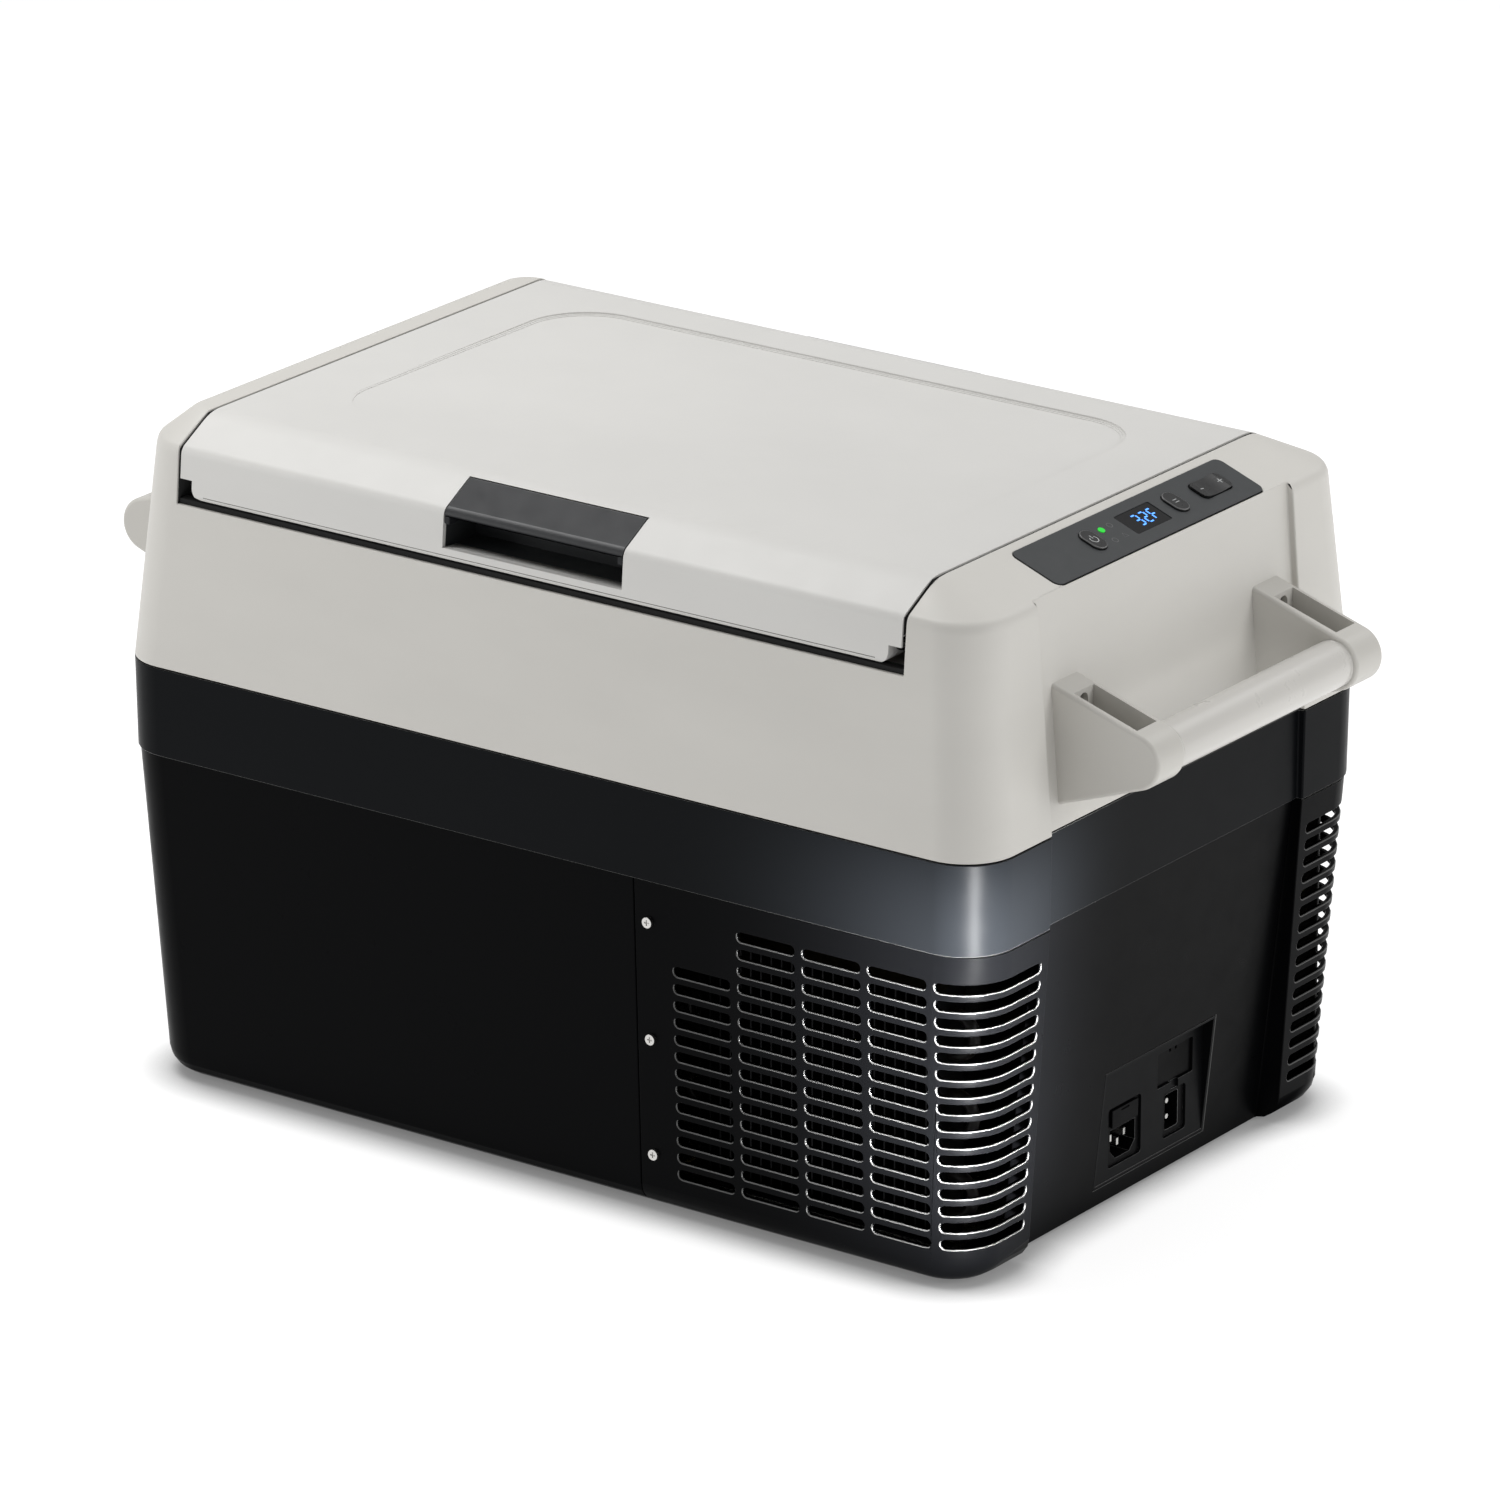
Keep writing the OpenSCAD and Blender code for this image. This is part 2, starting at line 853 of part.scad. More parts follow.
// Pins that the hooks of the lid grip, headed inside the end towers
module pivot_pins() {
  left_end = lid_x0 + wall + 0.4 + hook_w;
  right_end = lid_x1 - wall - 0.4 - hook_w;
  color("silver")
    front_and_rear() {
      bar_x(slot_x_lo - wall - 0.1, left_end, -pin_y, pin_z, pin_r);
      bar_x(slot_x_lo - wall - 2.6, slot_x_lo - wall - 0.05, -pin_y, pin_z, 4.6);
      bar_x(right_end, slot_x_hi + wall + 0.1, -pin_y, pin_z, pin_r);
      bar_x(slot_x_hi + wall + 0.05, slot_x_hi + wall + 2.6, -pin_y, pin_z, 4.6);
    }
}

// --- Lid -----------------------------------------------------------------------------------

// Cross-section of the lid in (Y, Z), shrunk by off
module lid_profile(off, bottom) {
  bevel_z = crease_z - 0.58 * off;
  cut = 2;
  polygon([
    [-upper_hy(bottom) + off + cut, bottom], [-upper_hy(bottom) + off, bottom + cut],
    [-upper_hy(bevel_z) + off, bevel_z], [-top_hy + 0.27 * off, case_h - off],
    [top_hy - 0.27 * off, case_h - off], [upper_hy(bevel_z) - off, bevel_z],
    [upper_hy(bottom) - off, bottom + cut], [upper_hy(bottom) - off - cut, bottom]
  ]);
}

// Outline of the lid seen from the front, with a notch cut in each lower corner and the corner
// of the skirt beside it rounded, shrunk by off
module lid_front(off) {
  difference() {
    translate([lid_x0 + off, skirt_z - 1])
      square([lid_x1 - lid_x0 - 2 * off, case_h]);
    for (s = [-1, 1]) {
      inner = (s < 0 ? lid_x0 : lid_x1) - s * (notch_w + off);
      translate([s < 0 ? inner - 20 : inner, 0])
        square([20, notch_z + off]);
      difference() {
        translate([s < 0 ? inner : inner - notch_r, skirt_z - 2])
          square([notch_r, notch_r + 2]);
        translate([inner - s * notch_r, skirt_z + notch_r])
          circle(notch_r);
      }
    }
  }
}

// Window in the lid for a latch lever and the finger space below it, at the front
module lever_window(gap) {
  x0 = lid_mid - latch_w / 2 - gap;
  x1 = lid_mid + latch_w / 2 + gap;
  along_x(x0, x1) {
    polygon([[-far, pocket_z], [-shaft_y + 13, pocket_z], [-shaft_y + 13, shaft_z + 2],
      [-163.4, shaft_z + 14.4], [-163.4, far * 2], [-far, far * 2]]);
    translate([-shaft_y, shaft_z])
      circle(lip_end_r + 0.5);
  }
}

// Shallow dished field in the top of the lid, with a stepped rim; its floor falls gently
// towards the rear
module lid_dish() {
  depth = 1.05;
  rim_step = 1.5;
  for (k = [0:2])
    translate([-8, 6, case_h - depth * (1 - k / 3)])
      rotate([-0.35, 0, 0])
        linear_extrude(10)
          rounded_rect(205 + k * rim_step, 119 + k * rim_step, 38 + k * rim_step);
}

module lid_outer() {
  color("#dcdad5")
    difference() {
      intersection() {
        along_x(lid_x0, lid_x1)
          lid_profile(0, skirt_z);
        along_y(-far, far)
          lid_front(0);
      }
      intersection() {
        along_x(lid_x0, lid_x1)
          lid_profile(wall, skirt_z - 2.5);
        along_y(-far, far)
          lid_front(wall);
      }
      front_and_rear() {
        lever_window(0);
        // Openings around the pins and hooks, behind the skirt
        for (x = [[lid_x0 - 1, lid_x0 + notch_w], [lid_x1 - notch_w, lid_x1 + 1]])
          box([x[0], -187.4, notch_z - 1], [x[1], -shaft_y + 5, notch_z + 6]);
      }
      lid_dish();
    }
}

module lid_inner() {
  lo = lid_x0 + notch_w + wall + 3.4;
  hi = lid_x1 - notch_w - wall - 3.4;
  hy = upper_hy(plate_z) - wall - 0.4;
  color("#c9c9c6")
    difference() {
      union() {
        box([lo, -hy, plate_z], [hi, hy, plate_z + pan_t]);
        rounded_box(tub_x0 + plug_gap, tub_x2 - plug_gap, tub_hy - plug_gap, plug_z, plate_z + 0.1, 16);
      }
      rounded_box(tub_x0 + plug_gap + pan_t, tub_x2 - plug_gap - pan_t, tub_hy - plug_gap - pan_t,
        plug_z + pan_t, case_h, 14);
    }
}

module lid_foam() {
  top = case_h - wall - 1.6;
  color("#e8dfae")
    union() {
      rounded_box(tub_x0 + plug_gap + pan_t + 0.3, tub_x2 - plug_gap - pan_t - 0.3,
        tub_hy - plug_gap - pan_t - 0.3, plug_z + pan_t + 0.2, top, 13.7);
      box([lid_x0 + notch_w + 4, -152, plate_z + pan_t + 0.2], [lid_x1 - notch_w - 4, 152, top]);
      box([lid_x0 + 4, -152, notch_z + 5], [lid_x1 - 4, 152, top]);
    }
}

module lid_gasket() {
  color("#5a5c5e")
    difference() {
      rounded_box(tub_x0 - 8, tub_x2 + 8, tub_hy + 8, deck_z + flange_t + 0.4, plate_z - 0.02, 24);
      rounded_box(tub_x0 - 1.5, tub_x2 + 1.5, tub_hy + 1.5, deck_z, plate_z + 1, 18);
    }
}

// Lined box that the fingers reach into, one at the front and one at the rear; its side walls
// carry the shafts of the latches
module finger_pockets() {
  x0 = lid_mid - latch_w / 2;
  x1 = lid_mid + latch_w / 2;
  floor_z = plate_z + pan_t + 0.4;
  back_y = -shaft_y + 16;
  color("#2b2c2e")
    front_and_rear()
      difference() {
        union() {
          box([x0 - 2.4, -186.4, floor_z], [x1 + 2.4, back_y, floor_z + 1.6]);
          box([x0 - 2.4, back_y - 1.6, floor_z], [x1 + 2.4, back_y, shaft_z - 4]);
          for (x = [x0 - 2.4, x1 + 0.6])
            along_x(x, x + 1.8)
              intersection() {
                lid_profile(wall + 0.4, floor_z - 3);
                translate([-far, floor_z])
                  square([far + back_y, far]);
              }
        }
        bar_x(-far, far, -shaft_y, shaft_z, shaft_r + 0.08);
      }
}

// --- Latches -------------------------------------------------------------------------------

// Lever in (Y, Z) at the front: a lip that lies flush in the bevel, returned down at its edge
module lip_profile() {
  t = 2.8;
  intersection() {
    difference() {
      lid_profile(0.05, skirt_z);
      lid_profile(t, skirt_z);
      translate([-shaft_y - 40, skirt_z - 2])
        square([80, crease_z - 3.4 - skirt_z + 2]);
    }
    union() {
      translate([-shaft_y, shaft_z])
        circle(lip_end_r);
      translate([-far, 0])
        square([far - shaft_y - 1, far * 2]);
    }
    translate([-far, 0])
      square([far - 160, far * 2]);
  }
}

module latch_lever() {
  x0 = lid_mid - latch_w / 2 + seam_gap;
  x1 = lid_mid + latch_w / 2 - seam_gap;
  difference() {
    union() {
      along_x(x0, x1)
        lip_profile();
      // Barrel on the shaft, and the web that joins it to the lip
      bar_x(x0, x1, -shaft_y, shaft_z, 5);
      along_x(x0, x1)
        polygon([[-shaft_y - 2.5, shaft_z + 2], [-shaft_y + 2.5, shaft_z + 2],
          [-shaft_y + 1.5, shaft_z + 9], [-shaft_y - 2.5, shaft_z + 7]]);
      // End cheeks, deeper than the lip, with a rounded inner corner
      for (x = [x0, x1 - 3.5])
        along_x(x, x + 3.5)
          polygon([[-upper_hy(crease_z) + 0.2, crease_z - 0.5], [-upper_hy(crease_z - 8) + 0.2, crease_z - 8],
            [-upper_hy(crease_z) + 5, crease_z - 9], [-shaft_y, shaft_z - 4.5], [-shaft_y, shaft_z + 7]]);
    }
    bar_x(x0 - 1, x1 + 1, -shaft_y, shaft_z, shaft_r + 0.02);
  }
}

// Hook in (Y, Z) that reaches round the outboard side of a pin, as far as the line from the
// pin to the shaft, so that turning the shaft never lifts it against the pin
module hook_profile() {
  p = [-pin_y, pin_z];
  a = [-shaft_y, shaft_z];
  len = norm(a - p);
  tilt = atan2(a[1] - p[1], a[0] - p[0]) - 90;
  translate(p)
    rotate(tilt)
      difference() {
        union() {
          intersection() {
            circle(hook_r);
            translate([-20, -20])
              square([20, 40]);
          }
          translate([-hook_r, 0])
            square([hook_r, len]);
          translate([-hook_r, hook_r])
            square([hook_r + 2.5, len - hook_r]);
          translate([0, len])
            circle(5.5);
        }
        circle(hook_in_r);
      }
}

module latch_bar() {
  for (x = [lid_x0 + wall + 0.4, lid_x1 - wall - 0.4 - hook_w])
    along_x(x, x + hook_w)
      hook_profile();
  bar_x(lid_x0 + wall + 0.4, lid_x1 - wall - 0.4, -shaft_y, shaft_z, shaft_r);
}

module front_latch_lever() {
  color("#2e3032")
    latch_lever();
}

module front_latch_bar() {
  color("#1a1a1b")
    latch_bar();
}

module rear_latch_lever() {
  color("#2e3032")
    mirror([0, 1, 0])
      latch_lever();
}

module rear_latch_bar() {
  color("#1a1a1b")
    mirror([0, 1, 0])
      latch_bar();
}

// Return springs on the shafts, outside the finger pockets, wound close enough to be sleeves
module latch_springs() {
  spring_len = 11;
  color("silver")
    front_and_rear()
      for (x = [lid_mid - latch_w / 2 - 15, lid_mid + latch_w / 2 + 4])
        difference() {
          bar_x(x, x + spring_len, -shaft_y, shaft_z, coil_r);
          bar_x(x - 1, x + spring_len + 1, -shaft_y, shaft_z, shaft_r + play);
        }
}

// --- Inside --------------------------------------------------------------------------------

// Space of the tub, deep on the left and shallow over the cooling unit, grown by off
module tub_space(off, top) {
  rounded_box(tub_x0 - off, tub_x1 + off, tub_hy + off, 48 - off, top, 18 + off);
  rounded_box(tub_x0 - off, tub_x2 + off, tub_hy + off, 262 - off, top, 18 + off);
}

module inner_tub() {
  color("#e4e4e1")
    difference() {
      union() {
        tub_space(2.5, deck_z + flange_t);
        rounded_box(tub_x0 - 12, tub_x2 + 12, tub_hy + 11, deck_z + 0.02, deck_z + flange_t, 28);
      }
      tub_space(0, deck_z + 20);
      // Window of the interior light
      box([tub_x2 - 1, -16, 325], [tub_x2 + 10, 16, 337]);
    }
}

module interior_light() {
  color("#f6f4e8")
    box([tub_x2 + 0.3, -15.7, 325.3], [tub_x2 + 3.4, 15.7, 336.7]);
}

module evaporator_plate() {
  color("#b9bcbf")
    difference() {
      rounded_box(tub_x0 - 4, tub_x1 + 4, tub_hy + 4, 90, 250, 22);
      rounded_box(tub_x0 - 2.6, tub_x1 + 2.6, tub_hy + 2.6, 80, 260, 20.6);
    }
}

// One block of foam between two corners, cut to the inside of the shells
module foam_block(a, b) {
  hy = 184;
  intersection() {
    box(a, b);
    rounded_box(-293, 293, hy, 5, far, 27);
    along_y(-far, far)
      polygon([[-263, 5], [-271, 16], [-290, belt_z - 7], [-290, seam_z + 7],
        [-end_face(deck_z) + 4, deck_z], [end_face(deck_z) - 4, deck_z], [290, seam_z + 7],
        [290, bay_top], [bay_x0, 5]]);
    along_x(-far, far)
      polygon([[-166, 5], [-178, 16], [-hy - 1, 80], [-hy - 1, deck_z], [hy + 1, deck_z],
        [hy + 1, 80], [178, 16], [166, 5]]);
  }
}

module insulation_foam() {
  top = deck_z - wall - 0.3;
  gap = 0.05;
  in_x0 = tub_x0 - 4.3;
  in_x1 = tub_x1 + 4.3;
  in_x2 = tub_x2 + 4.3;
  in_y = tub_hy + 4.3;
  deep_z = 43.7;
  shelf_z = 257.7;
  color("#e8dfae")
    difference() {
      union() {
        // Left wall, right wall, floor of the deep part, step and shelf
        foam_block([-far, -far, 0], [in_x0, far, top]);
        foam_block([in_x2, -in_y + gap, bay_top], [far, in_y - gap, top]);
        foam_block([in_x0 + gap, -in_y + gap, 0], [bay_x0, in_y - gap, deep_z]);
        foam_block([in_x1, -in_y + gap, deep_z + gap], [bay_x0, in_y - gap, shelf_z]);
        foam_block([bay_x0 + gap, -in_y + gap, bay_top], [in_x2 - gap, in_y - gap, shelf_z]);
        // Front and rear walls, beside the deep part and over the cooling unit
        front_and_rear() {
          foam_block([in_x0 + gap, -far, 0], [bay_x0, -in_y, top]);
          foam_block([bay_x0 + gap, -far, bay_top], [far, -in_y, top]);
        }
      }
      // Ways for the refrigerant pipes
      for (z = [170, 190])
        bar_x(tub_x1, bay_x0 + 5, 60, z, 5);
      // Room for the handle screws and the light
      for (sy = [-1, 1], sx = [-1, 1], z = bracket_screw_zs)
        bar_x(sx > 0 ? 275 : -305, sx > 0 ? 305 : -275, sy * (bracket_y0 + bracket_y1) / 2, z, 3);
      box([tub_x2, -17, 324], [tub_x2 + 6, 17, 338]);
    }
}

// --- Basket --------------------------------------------------------------------------------

// Flat grid of bars that fills a rectangle, with nx and ny openings
module bar_grid(w, h, nx, ny) {
  difference() {
    square([w, h]);
    open_w = (w - (nx + 1) * wire) / nx;
    open_h = (h - (ny + 1) * wire) / ny;
    for (i = [0:nx - 1], j = [0:ny - 1])
      translate([wire + i * (open_w + wire), wire + j * (open_h + wire)])
        square([open_w, open_h]);
  }
}

module wire_basket() {
  gap = 0.05;
  w = basket_x[1] - basket_x[0];
  h = basket_z[1] - basket_z[0];
  inner_hy = basket_hy - wire - gap;
  color("#8b8d90")
    union() {
      // Long walls, end walls and floor
      for (y = [-basket_hy, basket_hy - wire])
        translate([basket_x[0], y + wire, basket_z[0]])
          rotate([90, 0, 0])
            linear_extrude(wire)
              bar_grid(w, h, 7, 4);
      for (x = [basket_x[0], basket_x[1] - wire])
        translate([x, -inner_hy, basket_z[0]])
          rotate([90, 0, 90])
            linear_extrude(wire)
              bar_grid(2 * inner_hy, h, 8, 4);
      translate([basket_x[0] + wire + gap, -inner_hy, basket_z[0]])
        linear_extrude(wire)
          bar_grid(w - 2 * wire - 2 * gap, 2 * inner_hy, 7, 8);
      // Eyes that the bails turn in
      for (x = [basket_x[0] + wire + gap, basket_x[1] - wire - gap - 9], sy = [-1, 1])
        difference() {
          box([x, sy * (bail_hy + 5) - 1.5, basket_z[1] - 12], [x + 9, sy * (bail_hy + 5) + 1.5, basket_z[1]]);
          bar_y(-far, far, x + 4.5, basket_z[1] - 7, 1.85);
        }
    }
}

// Bail that hangs inside the end of the basket; x is the line it turns about
module bail(x) {
  z = basket_z[1] - 7;
  r = 1.75;
  translate([x, 0, z]) {
    for (sy = [-1, 1]) {
      bar_y(min(sy * bail_hy, sy * (bail_hy + 8)), max(sy * bail_hy, sy * (bail_hy + 8)), 0, 0, r);
      bar_z(-bail_drop, 0, 0, sy * bail_hy, r);
      for (corner_z = [0, -bail_drop])
        translate([0, sy * bail_hy, corner_z])
          sphere(r + 0.3, $fn = 24);
    }
    bar_y(-bail_hy, bail_hy, 0, -bail_drop, r);
    bar_y(-22, 22, 0, -bail_drop, 3);
  }
}

module left_bail() {
  color("#6f7174")
    bail(basket_x[0] + wire + 4.55);
}

module right_bail() {
  color("#6f7174")
    bail(basket_x[1] - wire - 4.55);
}

// --- Cooling unit --------------------------------------------------------------------------

module bay_tray() {
  color("#9fa2a5")
    difference() {
      union() {
        box([bay_x0 + 4, -168, bay_floor + 0.2], [255, 168, bay_floor + 1.8]);
        for (sy = [-1, 1])
          box([bay_x0 + 4, sy * 167 - 1, bay_floor + 0.2], [255, sy * 167 + 1, bay_floor + 11]);
      }
      for (p = mount_points)
        bar_z(0, 20, p[0], p[1], 2.2);
    }
}

module compressor() {
  base = tray_top + 14;
  color("#18191b")
    translate([compressor_x, compressor_y, 0])
      difference() {
        union() {
          translate([0, 0, base])
            rotate_extrude()
              polygon([[0, 4], [40, 4], [52, 10], [compressor_r - 2, 22], [compressor_r - 2, 66],
                [compressor_r, 67], [compressor_r, 72], [compressor_r - 2, 73], [compressor_r - 2, 108],
                [52, 122], [36, 130], [0, 132]]);
          translate([0, 0, base])
            linear_extrude(5)
              rounded_rect(66, 56, 12);
          // Terminal cover, process tube and the suction and discharge stubs
          box([-30, 50, base + 46], [30, 66, base + 92]);
          bar_y(-68, -50, -20, base + 60, 3.2);
          bar_y(-68, -50, 20, base + 60, 4.2);
        }
        for (sx = [-1, 1], sy = [-1, 1])
          bar_z(0, 60, sx * 56, sy * 46, 5.05);
      }
}

module compressor_grommets() {
  color("#2a2a2a")
    for (p = mount_points)
      translate([p[0], p[1], tray_top])
        rotate_extrude()
          polygon([[2.3, 0], [9, 0], [9, 13.9], [4.9, 13.9], [4.9, 19.1], [8, 19.1], [8, 22], [2.3, 22]]);
}

module condenser_fins() {
  fins = 24;
  step = (cond_x[1] - cond_x[0] - 1) / (fins - 1);
  color("#c4c7ca")
    difference() {
      union() {
        for (k = [0:fins - 1])
          box([cond_x[0] + k * step, cond_y[0], cond_z[0]], [cond_x[0] + k * step + 1, cond_y[1], cond_z[1]]);
        // Side rails that tie the fins together
        for (z = [cond_z[0] - 1.5, cond_z[1]])
          box([cond_x[0], cond_y[0], z], [cond_x[1], cond_y[1], z + 1.5]);
      }
      for (z = cond_rows)
        bar_x(cond_x[0] - 5, cond_x[1] + 5, cond_mid, z, 3.55);
    }
}

module condenser_tube() {
  r = 3.5;
  color("#b5703c")
    union() {
      for (z = cond_rows)
        bar_x(cond_x[0] - 4, cond_x[1] + 4, cond_mid, z, r);
      for (k = [0:4])
        translate([k % 2 == 0 ? cond_x[1] + 4 : cond_x[0] - 4, cond_mid, (cond_rows[k] + cond_rows[k + 1]) / 2])
          rotate([90, 0, 0])
            rotate(k % 2 == 0 ? -90 : 90)
              rotate_extrude(angle = 180)
                translate([12, 0])
                  circle(r);
    }
}

module fan_shroud() {
  color("#1a1b1d")
    difference() {
      union() {
        difference() {
          along_y(fan_y - 11, fan_y + 13)
            translate([fan_x, fan_z])
              rounded_rect(62, 62, 8);
          bar_y(-far, 0, fan_x, fan_z, fan_r + 2.5);
        }
        // Spokes that carry the motor
        for (a = [45, 135])
          translate([fan_x, fan_y + 11.4, fan_z])
            rotate([0, a, 0])
              cube([2 * fan_r + 8, 3, 7], center = true);
        bar_y(fan_y + 9.9, fan_y + 13, fan_x, fan_z, 22);
      }
      for (sx = [-1, 1], sz = [-1, 1])
        bar_y(-far, 0, fan_x + sx * 53, fan_z + sz * 53, 2.2);
    }
}

module fan_motor() {
  color("#303234")
    union() {
      bar_y(fan_y + 3.4, fan_y + 9.85, fan_x, fan_z, 18);
      bar_y(fan_y - 7, fan_y + 3.5, fan_x, fan_z, 1.95);
    }
}

module fan_rotor() {
  hub_r = 21;
  color("#101112")
    difference() {
      union() {
        bar_y(fan_y - 9, fan_y + 2.6, fan_x, fan_z, hub_r);
        intersection() {
          bar_y(fan_y - 9, fan_y + 8, fan_x, fan_z, fan_r);
          for (k = [0:fan_blades - 1])
            translate([fan_x, fan_y - 0.5, fan_z])
              rotate([0, k * 360 / fan_blades, 0])
                translate([hub_r - 3, 0, 0])
                  rotate([38, 0, 0])
                    translate([0, -1.1, -19])
                      cube([fan_r, 2.2, 38]);
        }
      }
      // Clear the space where the motor sits and the shaft bore
      bar_y(fan_y + 2.6, fan_y + 20, fan_x, fan_z, hub_r - 0.5);
      bar_y(fan_y - 7.5, fan_y + 20, fan_x, fan_z, 2);
    }
}

module control_module() {
  color("#b4b7ba")
    difference() {
      union() {
        box([77, 120, tray_top + 0.1], [155, 150, 96]);
        for (k = [0:8])
          box([79 + k * 9, 150, 16], [81 + k * 9, 160, 90]);
      }
      box([101, 110, 60], [131, 128, 84]);
    }
}

module power_supply() {
  color("#3b3f44")
    difference() {
      box([165, 108, tray_top + 0.1], [249, 162, 78]);
      for (k = [0:7])
        box([173 + k * 9, 100, 20], [176 + k * 9, 111, 66]);
    }
}

module drier() {
  color("#b87333")
    translate([77, 86, 60])
      rotate_extrude()
        polygon([[0, 0], [3, 0], [3, 8], [10, 18], [10, 82], [3, 92], [3, 100], [0, 100]]);
}

// Straight runs of pipe between points, brazed at each corner
module pipe(points, r) {
  for (k = [0:len(points) - 2]) {
    d = points[k + 1] - points[k];
    translate(points[k])
      rotate([0, acos(d[2] / norm(d)), atan2(d[1], d[0])])
        cylinder(h = norm(d), r = r, $fn = 24);
  }
  for (k = [1:len(points) - 2])
    translate(points[k])
      sphere(r + 0.5, $fn = 24);
}

module refrigerant_pipes() {
  base = tray_top + 14;
  stub_y = compressor_y - 68.2;
  tube_x = cond_x[0] - 4.2;
  tank_x = compressor_x - 20;
  back_x = compressor_x + 20;
  color("#b87333") {
    // Discharge: compressor to the top of the condenser
    pipe([[tank_x, stub_y, base + 60], [tank_x, stub_y - 14, base + 60], [tank_x, stub_y - 14, 182],
      [85, stub_y - 14, 182], [85, cond_mid, 182], [85, cond_mid, cond_rows[5]],
      [tube_x, cond_mid, cond_rows[5]]], 2.4);
    // Suction: evaporator back to the compressor
    pipe([[tub_x1 + 4.2, 60, 190], [75, 60, 190], [75, stub_y - 8, 190], [back_x, stub_y - 8, 190],
      [back_x, stub_y - 8, base + 60], [back_x, stub_y, base + 60]], 3.4);
    // Liquid line: condenser to the drier, and on to the evaporator
    pipe([[tube_x, cond_mid, cond_rows[0]], [77, cond_mid, cond_rows[0]], [77, 86, cond_rows[0]],
      [77, 86, 59.8]], 2);
    pipe([[77, 86, 160.2], [77, 86, 170], [77, 60, 170], [tub_x1 + 4.2, 60, 170]], 1.6);
  }
}

base_shell();
belt_band();
upper_shell();
rubber_feet();
front_vent_cover();
rear_vent_cover();
cover_screws();
inlet_panel();
ac_inlet();
ac_pins();
ac_fuse_drawer();
dc_inlet();
dc_pins();
dc_fuse_cover();
control_bezel();
display_window();
display_digits();
status_led();
power_button();
set_button();
rocker_button();
control_board();
keypad_mat();
right_handle_brackets();
left_handle_brackets();
right_grip();
left_grip();
grip_rods();
handle_screws();
pivot_pins();
lid_outer();
lid_inner();
lid_foam();
lid_gasket();
finger_pockets();
latch_springs();
front_latch_lever();
front_latch_bar();
rear_latch_lever();
rear_latch_bar();
inner_tub();
evaporator_plate();
insulation_foam();
wire_basket();
left_bail();
right_bail();
interior_light();
compressor();
compressor_grommets();
bay_tray();
condenser_fins();
condenser_tube();
fan_shroud();
fan_motor();
fan_rotor();
control_module();
power_supply();
drier();
refrigerant_pipes();
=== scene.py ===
"""Looks of a compressor cooler box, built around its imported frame."""
import json
import math

import bmesh
import bpy
from mathutils import Matrix, Vector


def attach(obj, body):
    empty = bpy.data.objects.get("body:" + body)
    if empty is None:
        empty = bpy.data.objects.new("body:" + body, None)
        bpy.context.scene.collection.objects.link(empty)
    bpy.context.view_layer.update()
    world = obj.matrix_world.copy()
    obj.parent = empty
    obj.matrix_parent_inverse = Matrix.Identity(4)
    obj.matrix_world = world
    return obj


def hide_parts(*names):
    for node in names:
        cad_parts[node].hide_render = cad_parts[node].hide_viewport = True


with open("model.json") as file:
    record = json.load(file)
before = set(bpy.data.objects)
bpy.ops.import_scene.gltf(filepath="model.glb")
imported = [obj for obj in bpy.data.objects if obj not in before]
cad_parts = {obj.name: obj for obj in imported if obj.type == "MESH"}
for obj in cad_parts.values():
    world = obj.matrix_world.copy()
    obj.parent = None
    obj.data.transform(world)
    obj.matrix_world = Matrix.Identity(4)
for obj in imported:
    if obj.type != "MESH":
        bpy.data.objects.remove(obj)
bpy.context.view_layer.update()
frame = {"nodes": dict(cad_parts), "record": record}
NODES = frame["nodes"]
MM = 0.001

# The case, in millimetres: its levels, its half length and half depth, and its corners
CASE_TOP = 407
CREASE = 391.5
DECK = 358.3
SEAM = 259
BELT = 204
CASE_HX = 306
CASE_HY = 199
CORNER_R = 32
DRAFT = 0.085  # how far the upper walls lean in, per mm of height
RECESS_HY = 128.5
CREASE_HX = 294.74
CREASE_HY = 187.74
TOP_HY = 160
TOP_R = 14
TOP_ENDS = (-278, 253)

# The slot between the end towers, the lid in it, and the shafts of its latches
SLOT_ENDS = (-262.3, 247.8)
LID_ENDS = (-260, 245.5)
LID_MID = -7.25
SHAFT_Y = 171
SHAFT_Z = 390

# Handles
GRIP_X = 349.5
GRIP_Z = 307.5
BRACKET_YS = (87.5, 115)

# The control slope, and the middle of the panel on it
SLOPE = math.atan((CASE_TOP - CREASE) / (CREASE_HX - TOP_ENDS[1]))
PANEL_X = 272.5
PANEL_Y = 4
PANEL_Z = CASE_TOP - (PANEL_X - TOP_ENDS[1]) * math.tan(SLOPE)


# --- Materials -----------------------------------------------------------------------------

